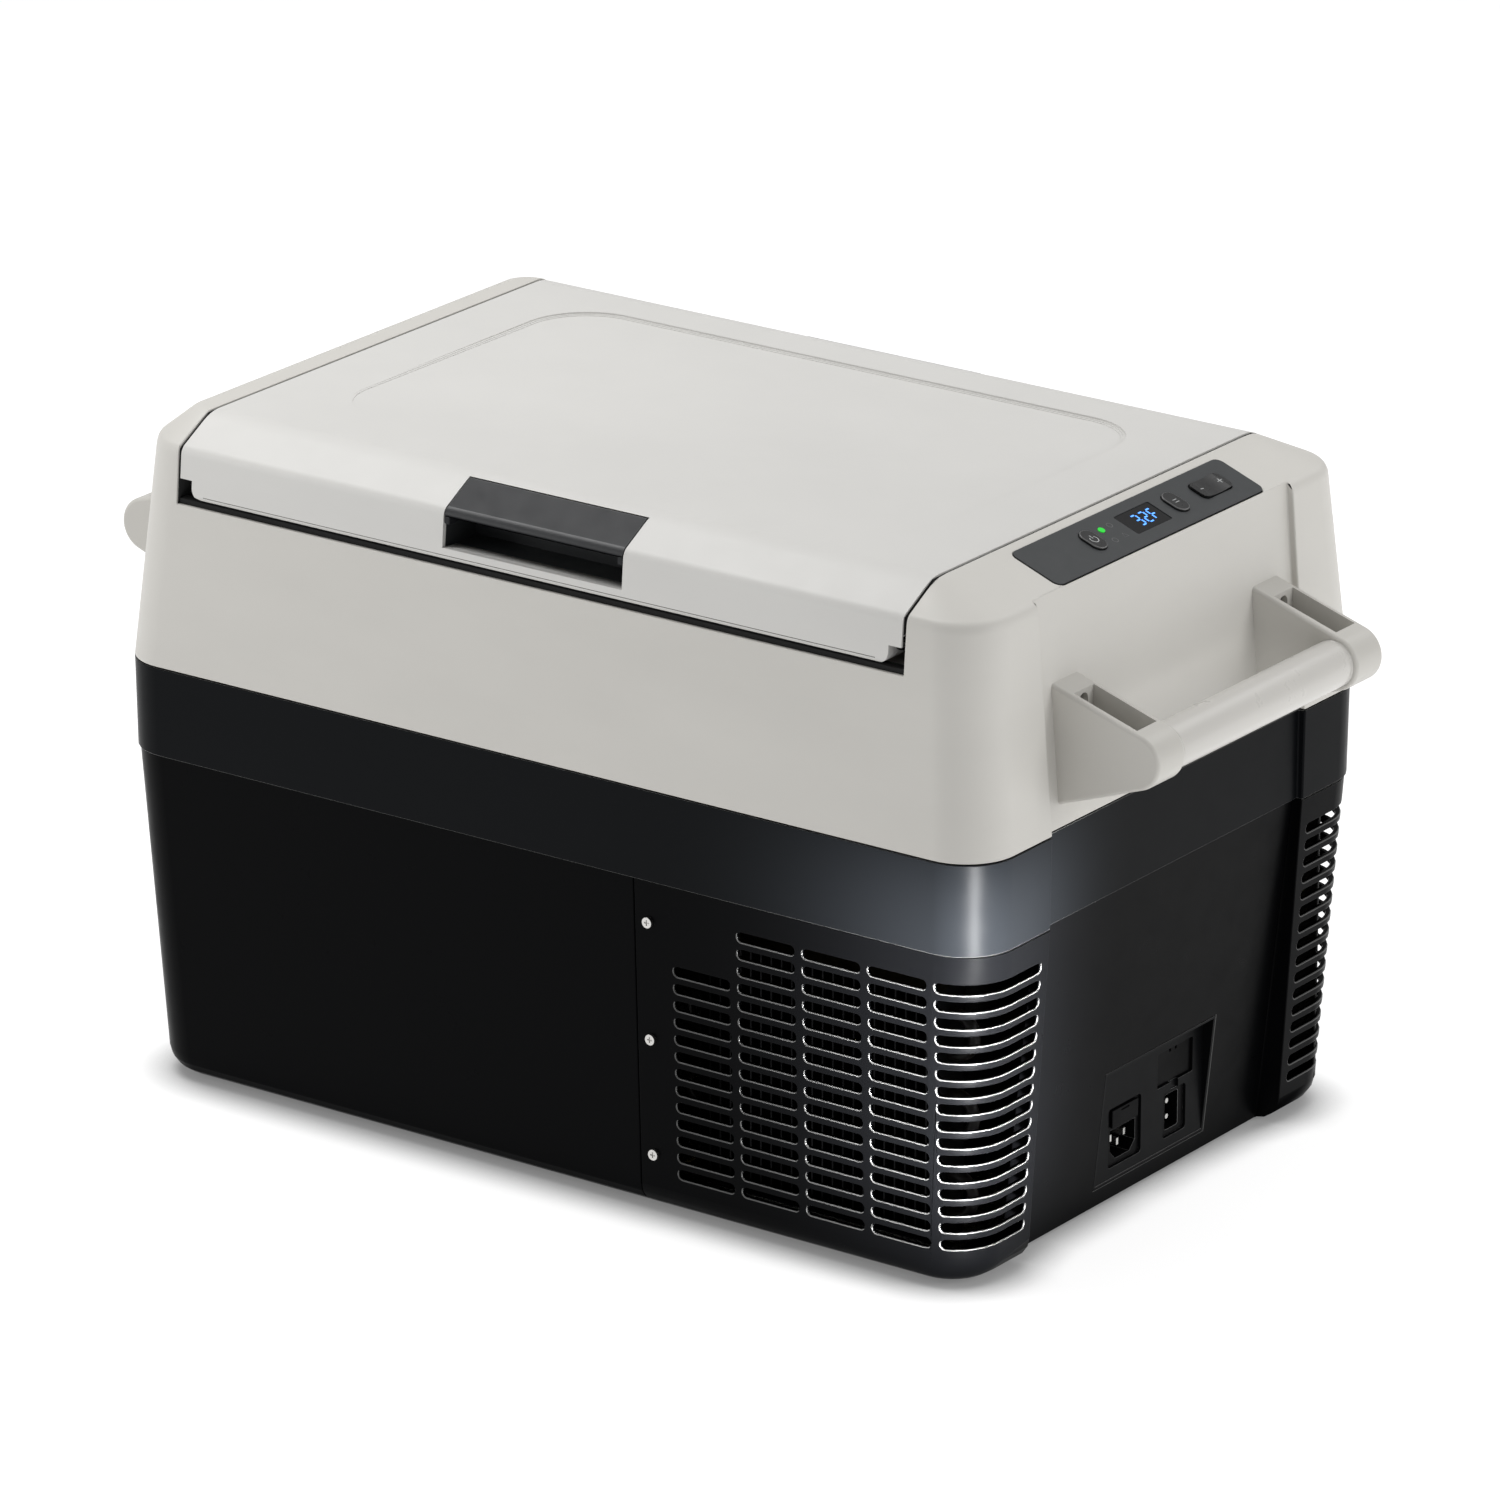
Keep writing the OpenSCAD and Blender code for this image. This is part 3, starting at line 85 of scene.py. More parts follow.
class Nodes:
    """A material's node tree, with short calls for the nodes used here."""

    def __init__(self, name):
        self.material = bpy.data.materials.new(name)
        self.material.use_nodes = True
        self.tree = self.material.node_tree
        self.shader = self.tree.nodes["Principled BSDF"]
        self.place = self.add("ShaderNodeTexCoord").outputs["Object"]

    def add(self, kind, **values):
        node = self.tree.nodes.new(kind)
        for key, value in values.items():
            setattr(node, key, value)
        return node

    def link(self, a, b):
        self.tree.links.new(a, b)

    def noise(self, scale, detail=3.0, roughness=0.5, stretch=None):
        node = self.add("ShaderNodeTexNoise")
        node.inputs["Scale"].default_value = scale
        node.inputs["Detail"].default_value = detail
        node.inputs["Roughness"].default_value = roughness
        if stretch:
            mapping = self.add("ShaderNodeMapping")
            mapping.inputs["Scale"].default_value = stretch
            self.link(self.place, mapping.inputs["Vector"])
            self.link(mapping.outputs["Vector"], node.inputs["Vector"])
        else:
            self.link(self.place, node.inputs["Vector"])
        return node.outputs["Fac"]

    def between(self, value, low, high, start=0.3, end=0.7):
        node = self.add("ShaderNodeMapRange")
        node.inputs["From Min"].default_value = start
        node.inputs["From Max"].default_value = end
        node.inputs["To Min"].default_value = low
        node.inputs["To Max"].default_value = high
        self.link(value, node.inputs["Value"])
        return node.outputs["Result"]

    def mix(self, factor, a, b):
        node = self.add("ShaderNodeMix", data_type="RGBA")
        node.inputs["A"].default_value = (*a, 1)
        node.inputs["B"].default_value = (*b, 1)
        self.link(factor, node.inputs["Factor"])
        return node.outputs["Result"]

    def bump(self, height, strength, distance):
        node = self.add("ShaderNodeBump")
        node.inputs["Strength"].default_value = strength
        node.inputs["Distance"].default_value = distance
        self.link(height, node.inputs["Height"])
        return node.outputs["Normal"]

    def shape(self, **sources):
        """Links sources to sockets of the shader, such as Base_Color=..."""
        for key, source in sources.items():
            self.link(source, self.shader.inputs[key.replace("_", " ")])

    def set(self, **values):
        """Sets sockets of the shader, such as Roughness=0.4."""
        for key, value in values.items():
            self.shader.inputs[key.replace("_", " ")].default_value = value


def shade(color, amount):
    """A colour made darker or lighter."""
    return tuple(min(1.0, c * amount) for c in color)


def plastic(name, color, rough=0.45, spread=0.05, grain=0.25, grain_size=0.0006, ior=1.45):
    """Moulded plastic: fine spark-eroded texture, faint flow marks and uneven gloss."""
    n = Nodes(name)
    fine = n.noise(1 / grain_size, 2.0, 0.6)
    flow = n.noise(7.0, 4.0, 0.55, stretch=(1.0, 1.0, 2.6))
    patches = n.noise(60.0, 5.0, 0.6)
    n.shape(
        Base_Color=n.mix(n.between(flow, 0, 1), shade(color, 0.975), shade(color, 1.02)),
        Roughness=n.between(patches, rough - spread, rough + spread),
        Normal=n.bump(fine, grain, 0.12 * MM))
    n.set(IOR=ior)
    return n.material


def metal(name, color, rough, stretch):
    """Drawn or brushed metal with fine streaks; stretch is small along the streaks."""
    n = Nodes(name)
    lines = n.noise(2500, 3.0, 0.6, stretch=stretch)
    clouds = n.noise(25.0, 4.0)
    n.shape(
        Base_Color=n.mix(n.between(clouds, 0, 1), shade(color, 0.9), shade(color, 1.05)),
        Roughness=n.between(lines, rough - 0.08, rough + 0.1),
        Normal=n.bump(lines, 0.12, 0.06 * MM))
    n.set(Metallic=1.0)
    return n.material


def foam_look(name, color):
    """Foam with fine open cells."""
    n = Nodes(name)
    cells = n.add("ShaderNodeTexVoronoi")
    cells.inputs["Scale"].default_value = 900
    n.link(n.place, cells.inputs["Vector"])
    n.shape(
        Base_Color=n.mix(n.between(n.noise(30), 0, 1), shade(color, 0.85), color),
        Normal=n.bump(cells.outputs["Distance"], 0.6, 0.4 * MM))
    n.set(Roughness=0.85)
    return n.material


def lit(name, color, strength):
    """A lit segment or lamp, a little uneven."""
    n = Nodes(name)
    glow = n.between(n.noise(900), 0, 1)
    body = n.between(n.noise(400), 0, 1)
    n.shape(
        Emission_Color=n.mix(glow, shade(color, 0.8), color),
        Base_Color=n.mix(body, shade(color, 0.5), shade(color, 0.6)))
    n.set(Emission_Strength=strength, Roughness=0.3)
    return n.material


# One look for each material slot, then those that single pieces take instead, and the painted highlights
# that rounded edges take instead
LOOKS = {
    "shell_light": plastic("shell_light", (0.60, 0.585, 0.55), 0.47, 0.04, 0.22),
    "lid_light": plastic("lid_light", (0.64, 0.632, 0.61), 0.47, 0.04, 0.22),
    "handle_light": plastic("handle_light", (0.55, 0.535, 0.50), 0.40, 0.04, 0.2),
    "shell_dark": plastic("shell_dark", (0.0018, 0.0019, 0.0022), 0.32, 0.05, 0.28, 0.0007, 1.10),
    "belt_dark": plastic("belt_dark", (0.0050, 0.0056, 0.0065), 0.32, 0.04, 0.25, 0.0007, 1.12),
    "panel_dark": plastic("panel_dark", (0.0036, 0.0038, 0.0042), 0.38, 0.05, 0.2, 0.0005, 1.13),
    "trim_dark": plastic("trim_dark", (0.030, 0.033, 0.035), 0.42, 0.05, 0.3, 0.0005),
    "black_plastic": plastic("black_plastic", (0.0022, 0.0022, 0.0024), 0.4, 0.06, 0.15, 0.0005, 1.12),
    "gloss_black": plastic("gloss_black", (0.003, 0.003, 0.0035), 0.12, 0.02, 0.02),
    "black_paint": plastic("black_paint", (0.004, 0.004, 0.0045), 0.3, 0.05, 0.12, 0.002, 1.2),
    "white_plastic": plastic("white_plastic", (0.72, 0.72, 0.70), 0.36, 0.05, 0.12),
    "light_lens": plastic("light_lens", (0.85, 0.84, 0.78), 0.35, 0.03, 0.3),
    "rubber_black": plastic("rubber_black", (0.012, 0.012, 0.012), 0.75, 0.06, 0.5, 0.0005, 1.3),
    "rubber_grey": plastic("rubber_grey", (0.05, 0.05, 0.052), 0.7, 0.06, 0.45, 0.0005, 1.3),
    "wire_coat": plastic("wire_coat", (0.13, 0.135, 0.14), 0.38, 0.06, 0.35, 0.0009),
    "board_green": plastic("board_green", (0.008, 0.075, 0.022), 0.3, 0.05, 0.2),
    "foam": foam_look("foam", (0.72, 0.60, 0.30)),
    "steel": metal("steel", (0.62, 0.61, 0.59), 0.28, (0.1, 1, 1)),
    "aluminium": metal("aluminium", (0.68, 0.69, 0.7), 0.34, (1, 1, 0.05)),
    "copper": metal("copper", (0.62, 0.27, 0.15), 0.3, (0.2, 0.2, 0.2)),
    "lit_blue": lit("lit_blue", (0.08, 0.30, 1.0), 2.2),
    "lit_green": lit("lit_green", (0.01, 0.55, 0.03), 0.9),

    "grip_light": plastic("grip_light", (0.58, 0.565, 0.535), 0.30, 0.04, 0.1),
    "latch_dark": plastic("latch_dark", (0.015, 0.016, 0.018), 0.45, 0.04, 0.5, 0.0007, 1.3),
    "button_black": plastic("button_black", (0.007, 0.0072, 0.0075), 0.28, 0.03, 0.06, 0.0005, 1.5),
    # Black fins and tubes for the condenser: painted shade that keeps the bay dark behind the slots
    "fin_painted_shade": metal("fin_painted_shade", (0.02, 0.02, 0.021), 0.45, (1, 1, 0.05)),
    "tube_painted_shade": plastic("tube_painted_shade", (0.006, 0.005, 0.0045), 0.35, 0.05, 0.1, 0.001, 1.3),
    # A grey line colour that stands for the shade in a fine groove
    "groove_painted_shade": plastic("groove_painted_shade", (0.16, 0.155, 0.14), 0.6, 0.03, 0.1),
    "print_light": plastic("print_light", (0.42, 0.43, 0.43), 0.5, 0.03, 0.05),
    "print_faint": plastic("print_faint", (0.12, 0.122, 0.122), 0.5, 0.03, 0.05),
    # Painted highlights: lighter colours on rounded edges that stand for the light the edges catch
    "painted_highlight_dark": plastic("painted_highlight_dark", (0.065, 0.065, 0.064), 0.30, 0.03, 0.1, 0.0005, 1.5),
    "painted_highlight_latch": plastic("painted_highlight_latch", (0.024, 0.025, 0.027), 0.38, 0.03, 0.3, 0.0007, 1.45),
    "painted_highlight_trim": plastic("painted_highlight_trim", (0.11, 0.11, 0.11), 0.28, 0.03, 0.06, 0.0005, 1.5),
}


# --- Geometry helpers ----------------------------------------------------------------------

def body_of_node(node):
    """The body that a CAD node rides on."""
    for body, members in frame["record"]["behaviour"]["bodies"].items():
        if node in members:
            return body
    raise ValueError(node)


def slot_of_node(node):
    """The material slot of a CAD node."""
    for part in frame["record"]["subparts"]:
        if part["node"] == node:
            return part["material_slot"]
    raise ValueError(node)


def put(name, mesh, body, slot, look=None):
    """A new piece from a mesh, riding on a body, with the look of its slot."""
    piece = bpy.data.objects.new(name, mesh)
    bpy.context.scene.collection.objects.link(piece)
    mesh.materials.clear()
    mesh.materials.append(LOOKS[look or slot])
    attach(piece, body)
    return piece


# Rules that say which faces of a rounded edge keep its painted highlight

def any_way(_face):
    """Every edge."""
    return True


def upward(face):
    """Edges that look up."""
    return face.normal.z > 0.25


def level_edges(face):
    """Edges that look up or down."""
    return abs(face.normal.z) > 0.25


def base_rims(face):
    """Upward edges, and the rear edge of the recess for the inlets, which keep the painted highlight."""
    return face.normal.z > 0.25 or (face.normal.y < -0.3 and abs(face.center.y) < 0.1)


def slot_rims(side):
    """Lower edges and left ends of the slots in a vent cover, which keep the painted highlight; side is
    -1 at the front.
    """
    def keep(face):
        turn = face.normal
        return turn.z > 0.2 or (turn.x > 0.3 and side * turn.y > 0.2 and turn.z > -0.3)
    return keep


def settle(piece, keep):
    """Makes the modifiers part of the mesh; the painted edge highlight stays where keep(face) is true.
    """
    bpy.context.view_layer.update()
    graph = bpy.context.evaluated_depsgraph_get()
    mesh = bpy.data.meshes.new_from_object(piece.evaluated_get(graph))
    for face in mesh.polygons:
        if face.material_index == 1 and not keep(face):
            face.material_index = 0
    piece.modifiers.clear()
    unused = piece.data
    piece.data = mesh
    bpy.data.meshes.remove(unused)


SHARP = math.radians(28)


def soften(piece, width, segments=2, weighted=False, highlight_look=None, keep=upward):
    """Rounds a piece's edges, which may take a lighter colour than its faces as a painted highlight, and
    evens its normals.
    """
    bevel = piece.modifiers.new("edges", "BEVEL")
    bevel.width = width
    bevel.segments = segments
    bevel.limit_method = "WEIGHT" if weighted else "ANGLE"
    bevel.angle_limit = SHARP
    bevel.use_clamp_overlap = not weighted
    bevel.loop_slide = False
    if highlight_look:
        piece.data.materials.append(LOOKS[highlight_look])
        bevel.material = 1
        settle(piece, keep)
    normals = piece.modifiers.new("normals", "WEIGHTED_NORMAL")
    normals.keep_sharp = True


def weigh(bm, share):
    """Gives each edge its share of the rounding; share is called with both ends in mm."""
    layer = bm.edges.layers.float.new("bevel_weight_edge")
    for edge in bm.edges:
        if len(edge.link_faces) == 2 and edge.calc_face_angle(0) >= math.radians(12):
            edge[layer] = share(*(v.co / MM for v in edge.verts))


def join_facets(bm, reach, joined=None):
    """Joins flat facets so that the edges can be rounded; joined limits which edges may go."""
    bmesh.ops.remove_doubles(bm, verts=bm.verts, dist=2 * reach)
    bmesh.ops.dissolve_degenerate(bm, dist=reach, edges=bm.edges)
    edges = bm.edges
    if joined:
        bm.normal_update()
        edges = [edge for edge in bm.edges if joined(edge)]
    bmesh.ops.dissolve_limit(bm, angle_limit=math.radians(0.4), verts=bm.verts, edges=edges)
    for face in bm.faces:
        face.smooth = True
    return bm


def clean_copy(node):
    """The node's mesh as a bmesh, with flat facets joined."""
    bm = bmesh.new()
    bm.from_mesh(NODES[node].data)
    return join_facets(bm, 1e-6)


def ring(bm, z, half_x, half_y, radius, middle, steps=12):
    """One rounded rectangle of a loft."""
    made = []
    for corner, (sx, sy) in enumerate(((1, 1), (-1, 1), (-1, -1), (1, -1))):
        for k in range(steps + 1):
            turn = math.radians(90 * (corner + k / steps))
            x = middle + sx * (half_x - radius) + radius * math.cos(turn)
            y = sy * (half_y - radius) + radius * math.sin(turn)
            made.append(bm.verts.new((x * MM, y * MM, z * MM)))
    return made


def loft(levels):
    """Closed skin through levels of (z, half x, half y, corner radius, middle x) in mm."""
    bm = bmesh.new()
    rings = [ring(bm, *level) for level in levels]
    for low, high in zip(rings, rings[1:]):
        for k, here in enumerate(low):
            after = (k + 1) % len(low)
            bm.faces.new((here, low[after], high[after], high[k]))
    bm.faces.new(reversed(rings[0]))
    bm.faces.new(rings[-1])
    return skin_mesh(bm)


def skin_mesh(bm):
    """Ends a bmesh made in metres as the mesh of a skin."""
    bmesh.ops.recalc_face_normals(bm, faces=bm.faces)
    mesh = bpy.data.meshes.new("skin")
    bm.to_mesh(mesh)
    bm.free()
    return mesh


def eased(before, corner, after, share_in, share_out, steps=8):
    """Points that turn one corner of an outline in a smooth curve."""
    start = [c + (b - c) * share_in for b, c in zip(before, corner)]
    end = [c + (a - c) * share_out for a, c in zip(after, corner)]
    points = []
    for t in (k / steps for k in range(steps + 1)):
        p, q, r = (1 - t) ** 2, 2 * t * (1 - t), t * t
        points.append([p * a + q * c + r * b for a, c, b in zip(start, corner, end)])
    return points


def on_deck(face):
    """True on the deck round the tub."""
    return abs(face.normal.z) > 0.999 and abs(face.calc_center_median().z - DECK * MM) < 1 * MM


def off_deck(edge):
    """Edges that may go; with the deck's own faces joined, the tub's opening would be lost."""
    return not all(on_deck(face) for face in edge.link_faces)


def within(skin, node):
    """A bmesh of the part of a CAD node that lies inside a smooth skin."""
    helper = bpy.data.objects.new("skin", skin)
    bpy.context.scene.collection.objects.link(helper)
    cut = helper.modifiers.new("cut", "BOOLEAN")
    cut.operation = "INTERSECT"
    cut.solver = "EXACT"
    cut.object = NODES[node]
    bpy.context.view_layer.update()
    graph = bpy.context.evaluated_depsgraph_get()
    result = bpy.data.meshes.new_from_object(helper.evaluated_get(graph))
    bm = bmesh.new()
    bm.from_mesh(result)
    bpy.data.objects.remove(helper)
    bpy.data.meshes.remove(skin)
    bpy.data.meshes.remove(result)
    return join_facets(bm, 2e-6, off_deck)


def refine(node, width=0.5 * MM, segments=2, share=None, skin=None):
    """Stands a soft-edged copy of a CAD node in its place."""
    bm = within(skin, node) if skin else clean_copy(node)
    if share:
        weigh(bm, share)
    mesh = bpy.data.meshes.new(f"{node}_look")
    bm.to_mesh(mesh)
    bm.free()
    slot = slot_of_node(node)
    piece = put(f"{node}_look", mesh, body_of_node(node), slot, NODE_LOOKS.get(node))
    # Dark slots take a painted highlight on their upward rounded edges unless the node is listed
    highlight_look, keep = EDGE_HIGHLIGHTS.get(node, ("painted_highlight_dark" if slot in DARK_SLOTS else None, upward))
    soften(piece, width, segments, weighted=bool(share), highlight_look=highlight_look, keep=keep)
    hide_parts(node)
    return piece


def both(a, b, axis, value, tolerance):
    """True when both ends of an edge lie on a plane."""
    return abs(a[axis] - value) < tolerance and abs(b[axis] - value) < tolerance


def block(bm, low, high):
    """Adds a box between two corners given in mm."""
    middle = (Vector(low) + Vector(high)) / 2
    size = Vector(high) - Vector(low)
    made = bmesh.ops.create_cube(bm, size=1)["verts"]
    bmesh.ops.scale(bm, vec=size, verts=made)
    bmesh.ops.translate(bm, vec=middle, verts=made)


def piece_from(bm, name, body, slot, look=None, width=0):
    """Ends a bmesh made in mm: scales it, puts it in the scene and rounds its edges by width."""
    bmesh.ops.scale(bm, vec=(MM, MM, MM), verts=bm.verts)
    for face in bm.faces:
        face.smooth = True
    mesh = bpy.data.meshes.new(name)
    bm.to_mesh(mesh)
    bm.free()
    piece = put(name, mesh, body, slot, look)
    if width:
        soften(piece, width * MM)
    return piece


def prism(bm, outline, x0, x1):
    """Adds an outline drawn in (y, z), run from x0 to x1, all in mm."""
    rows = [[bm.verts.new((x, y, z)) for y, z in outline] for x in (x0, x1)]
    for k, here in enumerate(rows[0]):
        after = (k + 1) % len(outline)
        bm.faces.new((here, rows[0][after], rows[1][after], rows[1][k]))
    bm.faces.new(reversed(rows[0]))
    bm.faces.new(rows[1])
    bmesh.ops.recalc_face_normals(bm, faces=bm.faces)


def tube(bm, path, radius, sides=8, closed=False):
    """Adds round wire along a path of points in mm."""
    points = [Vector(p) for p in path]
    count = len(points)
    across = None
    rows = []
    for k, point in enumerate(points):
        before = points[k - 1] if closed or k else points[k]
        after = points[(k + 1) % count] if closed or k < count - 1 else points[k]
        along = (after - before).normalized()
        if across is None:
            across = along.orthogonal()
        across = (across - along * across.dot(along)).normalized()
        over = along.cross(across)
        turns = [math.tau * i / sides for i in range(sides)]
        spokes = [across * math.cos(t) + over * math.sin(t) for t in turns]
        rows.append([bm.verts.new(point + radius * spoke) for spoke in spokes])
    for k in range(count if closed else count - 1):
        here, there = rows[k], rows[(k + 1) % count]
        for i in range(sides):
            after = (i + 1) % sides
            bm.faces.new((here[i], here[after], there[after], there[i]))
    if not closed:
        bm.faces.new(reversed(rows[0]))
        bm.faces.new(rows[-1])


def bent(corners, radius, closed=False, steps=6):
    """A path whose corners are rounded."""
    points = [Vector(c) for c in corners]
    count = len(points)
    path = []
    for k, here in enumerate(points):
        if not closed and k in (0, count - 1):
            path.append(here)
            continue
        start = here + (points[k - 1] - here).normalized() * radius
        end = here + (points[(k + 1) % count] - here).normalized() * radius
        for t in (i / steps for i in range(steps + 1)):
            path.append((1 - t) ** 2 * start + 2 * t * (1 - t) * here + t * t * end)
    return path


def front_to_rear(half):
    """An outline in (y, z) from its rear half: over from the front, and back to the rear."""
    return [(-y, z) for y, z in half] + [(y, z) for y, z in reversed(half)]


def turned(bm, x, z, profile, sides=64):
    """Adds a turned bar along Y from a profile of (y, radius) in mm."""
    turns = [math.tau * k / sides for k in range(sides)]
    spokes = [(math.cos(t), math.sin(t)) for t in turns]
    rows = [[bm.verts.new((x + radius * c, y, z + radius * s)) for c, s in spokes]
            for y, radius in profile]
    for here, there in zip(rows, rows[1:]):
        for k in range(sides):
            after = (k + 1) % sides
            bm.faces.new((here[k], here[after], there[after], there[k]))
    bmesh.ops.recalc_face_normals(bm, faces=bm.faces)


# --- Case, lid and trim --------------------------------------------------------------------

DARK_SLOTS = ("shell_dark", "belt_dark", "panel_dark")
NODE_LOOKS = {
    "front_latch_lever": "latch_dark", "rear_latch_lever": "latch_dark",
    "front_latch_bar": "black_plastic", "rear_latch_bar": "black_plastic",
    # The condenser's fins and tubes take black looks as painted shade inside the bay
    "condenser_fins": "fin_painted_shade", "condenser_tube": "tube_painted_shade",
    "refrigerant_pipes": "tube_painted_shade",
    "power_button": "button_black", "set_button": "button_black", "rocker_button": "button_black",
}
# The painted highlight on a node's rounded edges, and the rule for where it stays
EDGE_HIGHLIGHTS = {
    "power_button": ("painted_highlight_trim", any_way), "set_button": ("painted_highlight_trim", any_way),
    "rocker_button": ("painted_highlight_trim", any_way),
    "front_latch_lever": ("painted_highlight_latch", upward), "rear_latch_lever": ("painted_highlight_latch", upward),
    "front_vent_cover": ("painted_highlight_dark", slot_rims(-1)), "rear_vent_cover": ("painted_highlight_dark", slot_rims(1)),
    "belt_band": ("painted_highlight_dark", level_edges), "base_shell": ("painted_highlight_dark", base_rims),
    "ac_inlet": ("painted_highlight_trim", any_way), "dc_inlet": ("painted_highlight_trim", any_way),
}


# Shares of the rounding that an edge from a to b gets, both in mm

def abs_y(point):
    """The same point on the rear half."""
    return Vector((point.x, abs(point.y), point.z))


def shell_share(a, b):
    """Wide rounding on the steps of the end recess, narrow on the rest."""
    upright = abs((b - a).normalized().z) > 0.95
    if upright and both(abs_y(a), abs_y(b), 1, RECESS_HY, 0.6):
        return 0.3
    return 0.16


def skin_depth(point):
    """How far a point of the lower case lies inside its outer skin, in mm."""
    below = BELT - point.z
    end_lean, side_lean = 0.062, 0.035
    reach_x = abs(point.x) - (CASE_HX - 1 - end_lean * below - CORNER_R)
    reach_y = abs(point.y) - (CASE_HY - 2.4 - side_lean * below - CORNER_R)
    return CORNER_R - math.hypot(max(reach_x, 0), max(reach_y, 0))


def cover_share(a, b):
    """Rounds the edges of a vent cover on its outer side only."""
    outer = skin_depth(a) < 0.5 and skin_depth(b) < 0.5
    return 1.0 if outer else 0.0


def lid_share(a, b):
    """Rounds the long folds of a latch lever widely, and its other edges a little."""
    along = abs((b - a).normalized().x) > 0.99
    if along and both(a, b, 2, CREASE, 0.3):
        return 1.0
    if along and both(a, b, 2, CASE_TOP, 0.3) and abs(a.y) > 150:
        return 0.9
    return 0.2


def bracket_skin(side):
    """Two handle brackets with their outer edges rounded; side is 1 at the right-hand end."""
    rounding = 2.4
    nose = 16.45
    nose_steps = 30
    wall = [(CASE_HX - 4.6 - DRAFT * (z - SEAM), z) for z in (342, 272)]
    tangents = []
    for (x, z), sign in zip(wall, (-1, 1)):
        away = math.hypot(x - GRIP_X, z - GRIP_Z)
        tangents.append(math.atan2(z - GRIP_Z, x - GRIP_X) + sign * math.acos(nose / away))
    first, last = tangents
    nose_turns = [first + (last - first) * i / nose_steps for i in range(nose_steps + 1)]

    def outline(inset):
        """Side of a bracket in (x, z): the top at the wall, round the nose, the foot at the wall."""
        points = [(GRIP_X + (nose - inset) * math.cos(turn), GRIP_Z + (nose - inset) * math.sin(turn))
                  for turn in nose_turns]
        (top_x, top_z), (foot_x, foot_z) = wall
        top = (top_x - inset * math.cos(first) - 2, top_z - inset * math.sin(first) + 0.6)
        foot = (foot_x - inset * math.cos(last) - 2, foot_z - inset * math.sin(last) - 0.6)
        return [top] + points + [foot]

    bm = bmesh.new()
    swings = [math.radians(18 * k) for k in range(6)]
    for mirrored in (-1, 1):
        sections = []
        for edge, inward, order in ((BRACKET_YS[0] + 0.05, 1, swings),
                                    (BRACKET_YS[1] - 0.05, -1, reversed(swings))):
            for swing in order:
                step = rounding * (1 - math.cos(swing))
                inset = rounding * (1 - math.sin(swing))
                sections.append((mirrored * (edge + inward * step), outline(inset)))
        rows = [[bm.verts.new((side * x * MM, y * MM, z * MM)) for x, z in points]
                for y, points in sections]
        for here, there in zip(rows, rows[1:]):
            for i in range(len(here)):
                after = (i + 1) % len(here)
                bm.faces.new((here[i], here[after], there[after], there[i]))
        bm.faces.new(rows[0])
        bm.faces.new(rows[-1])
    return skin_mesh(bm)


def lid_skin():
    """Lid with a soft fold along each crease, and a softer one where the bevel meets the top."""
    low = (CASE_HY - DRAFT * (350 - SEAM), 350)
    crease = (CREASE_HY - 0.05, CREASE - 0.03)
    fold = (TOP_HY - 0.05, CASE_TOP - 0.05)
    half = [low] + eased(low, crease, fold, 0.1, 0.13) + eased(crease, fold, (0, fold[1]), 0.25, 0.05)
    bm = bmesh.new()
    prism(bm, front_to_rear(half), LID_ENDS[0] - 1, LID_ENDS[1] + 1)
    bmesh.ops.scale(bm, vec=(MM, MM, MM), verts=bm.verts)
    return skin_mesh(bm)


# Levels of the upper shell's skin, a little inside the solid: z, half x, half y, radius, middle x
INSIDE = 0.18
top_hx = (TOP_ENDS[1] - TOP_ENDS[0]) / 2
top_mid = (TOP_ENDS[0] + TOP_ENDS[1]) / 2
BOTTOM_LEVEL = (SEAM - 9, CASE_HX + 0.58, CASE_HY + 0.58, CORNER_R, 0)
CREASE_LEVEL = (CREASE, CREASE_HX - INSIDE, CREASE_HY - INSIDE, CORNER_R, 0)
TOP_LEVEL = (CASE_TOP - 0.03, top_hx - INSIDE, TOP_HY - INSIDE, TOP_R, top_mid)
CAP_LEVEL = (CASE_TOP - 0.03, top_hx - 40, TOP_HY - 40, 4, top_mid)
upper_skin = loft([BOTTOM_LEVEL] + eased(BOTTOM_LEVEL, CREASE_LEVEL, TOP_LEVEL, 0.04, 0.1)
                  + eased(CREASE_LEVEL, TOP_LEVEL, CAP_LEVEL, 0.13, 0.1) + [CAP_LEVEL])

refine("upper_shell", 3.6 * MM, 4, share=shell_share, skin=upper_skin)
for node in ("belt_band", "base_shell"):
    refine(node, 3.6 * MM, 4, share=shell_share)
for node in ("front_vent_cover", "rear_vent_cover"):
    refine(node, 0.65 * MM, 2, share=cover_share)
for name, side in (("right", 1), ("left", -1)):
    refine(f"{name}_handle_brackets", 0.4 * MM, skin=bracket_skin(side))
refine("lid_outer", 0.45 * MM, 3, skin=lid_skin())
for node in ("front_latch_lever", "rear_latch_lever"):
    refine(node, 3.6 * MM, 5, share=lid_share)

# Width of the rounding on the smaller nodes, in mm
EDGE_WIDTHS = {
    "inlet_panel": 0.6, "ac_inlet": 0.3, "ac_fuse_drawer": 0.25, "dc_inlet": 0.3, "dc_fuse_cover": 0.3,
    "control_bezel": 0.35, "display_window": 0.15,
    "power_button": 0.6, "set_button": 0.6, "rocker_button": 0.6,
    "lid_inner": 0.8, "finger_pockets": 0.3,
    "front_latch_bar": 0.3, "rear_latch_bar": 0.3, "inner_tub": 0.7, "rubber_feet": 0.6,
    "cover_screws": 0.2, "handle_screws": 0.3, "pivot_pins": 0.4, "lid_gasket": 0.8,
    "interior_light": 0.3, "control_module": 0.3, "power_supply": 0.4, "bay_tray": 0.2,
}
for node, edge in EDGE_WIDTHS.items():
    refine(node, edge * MM)

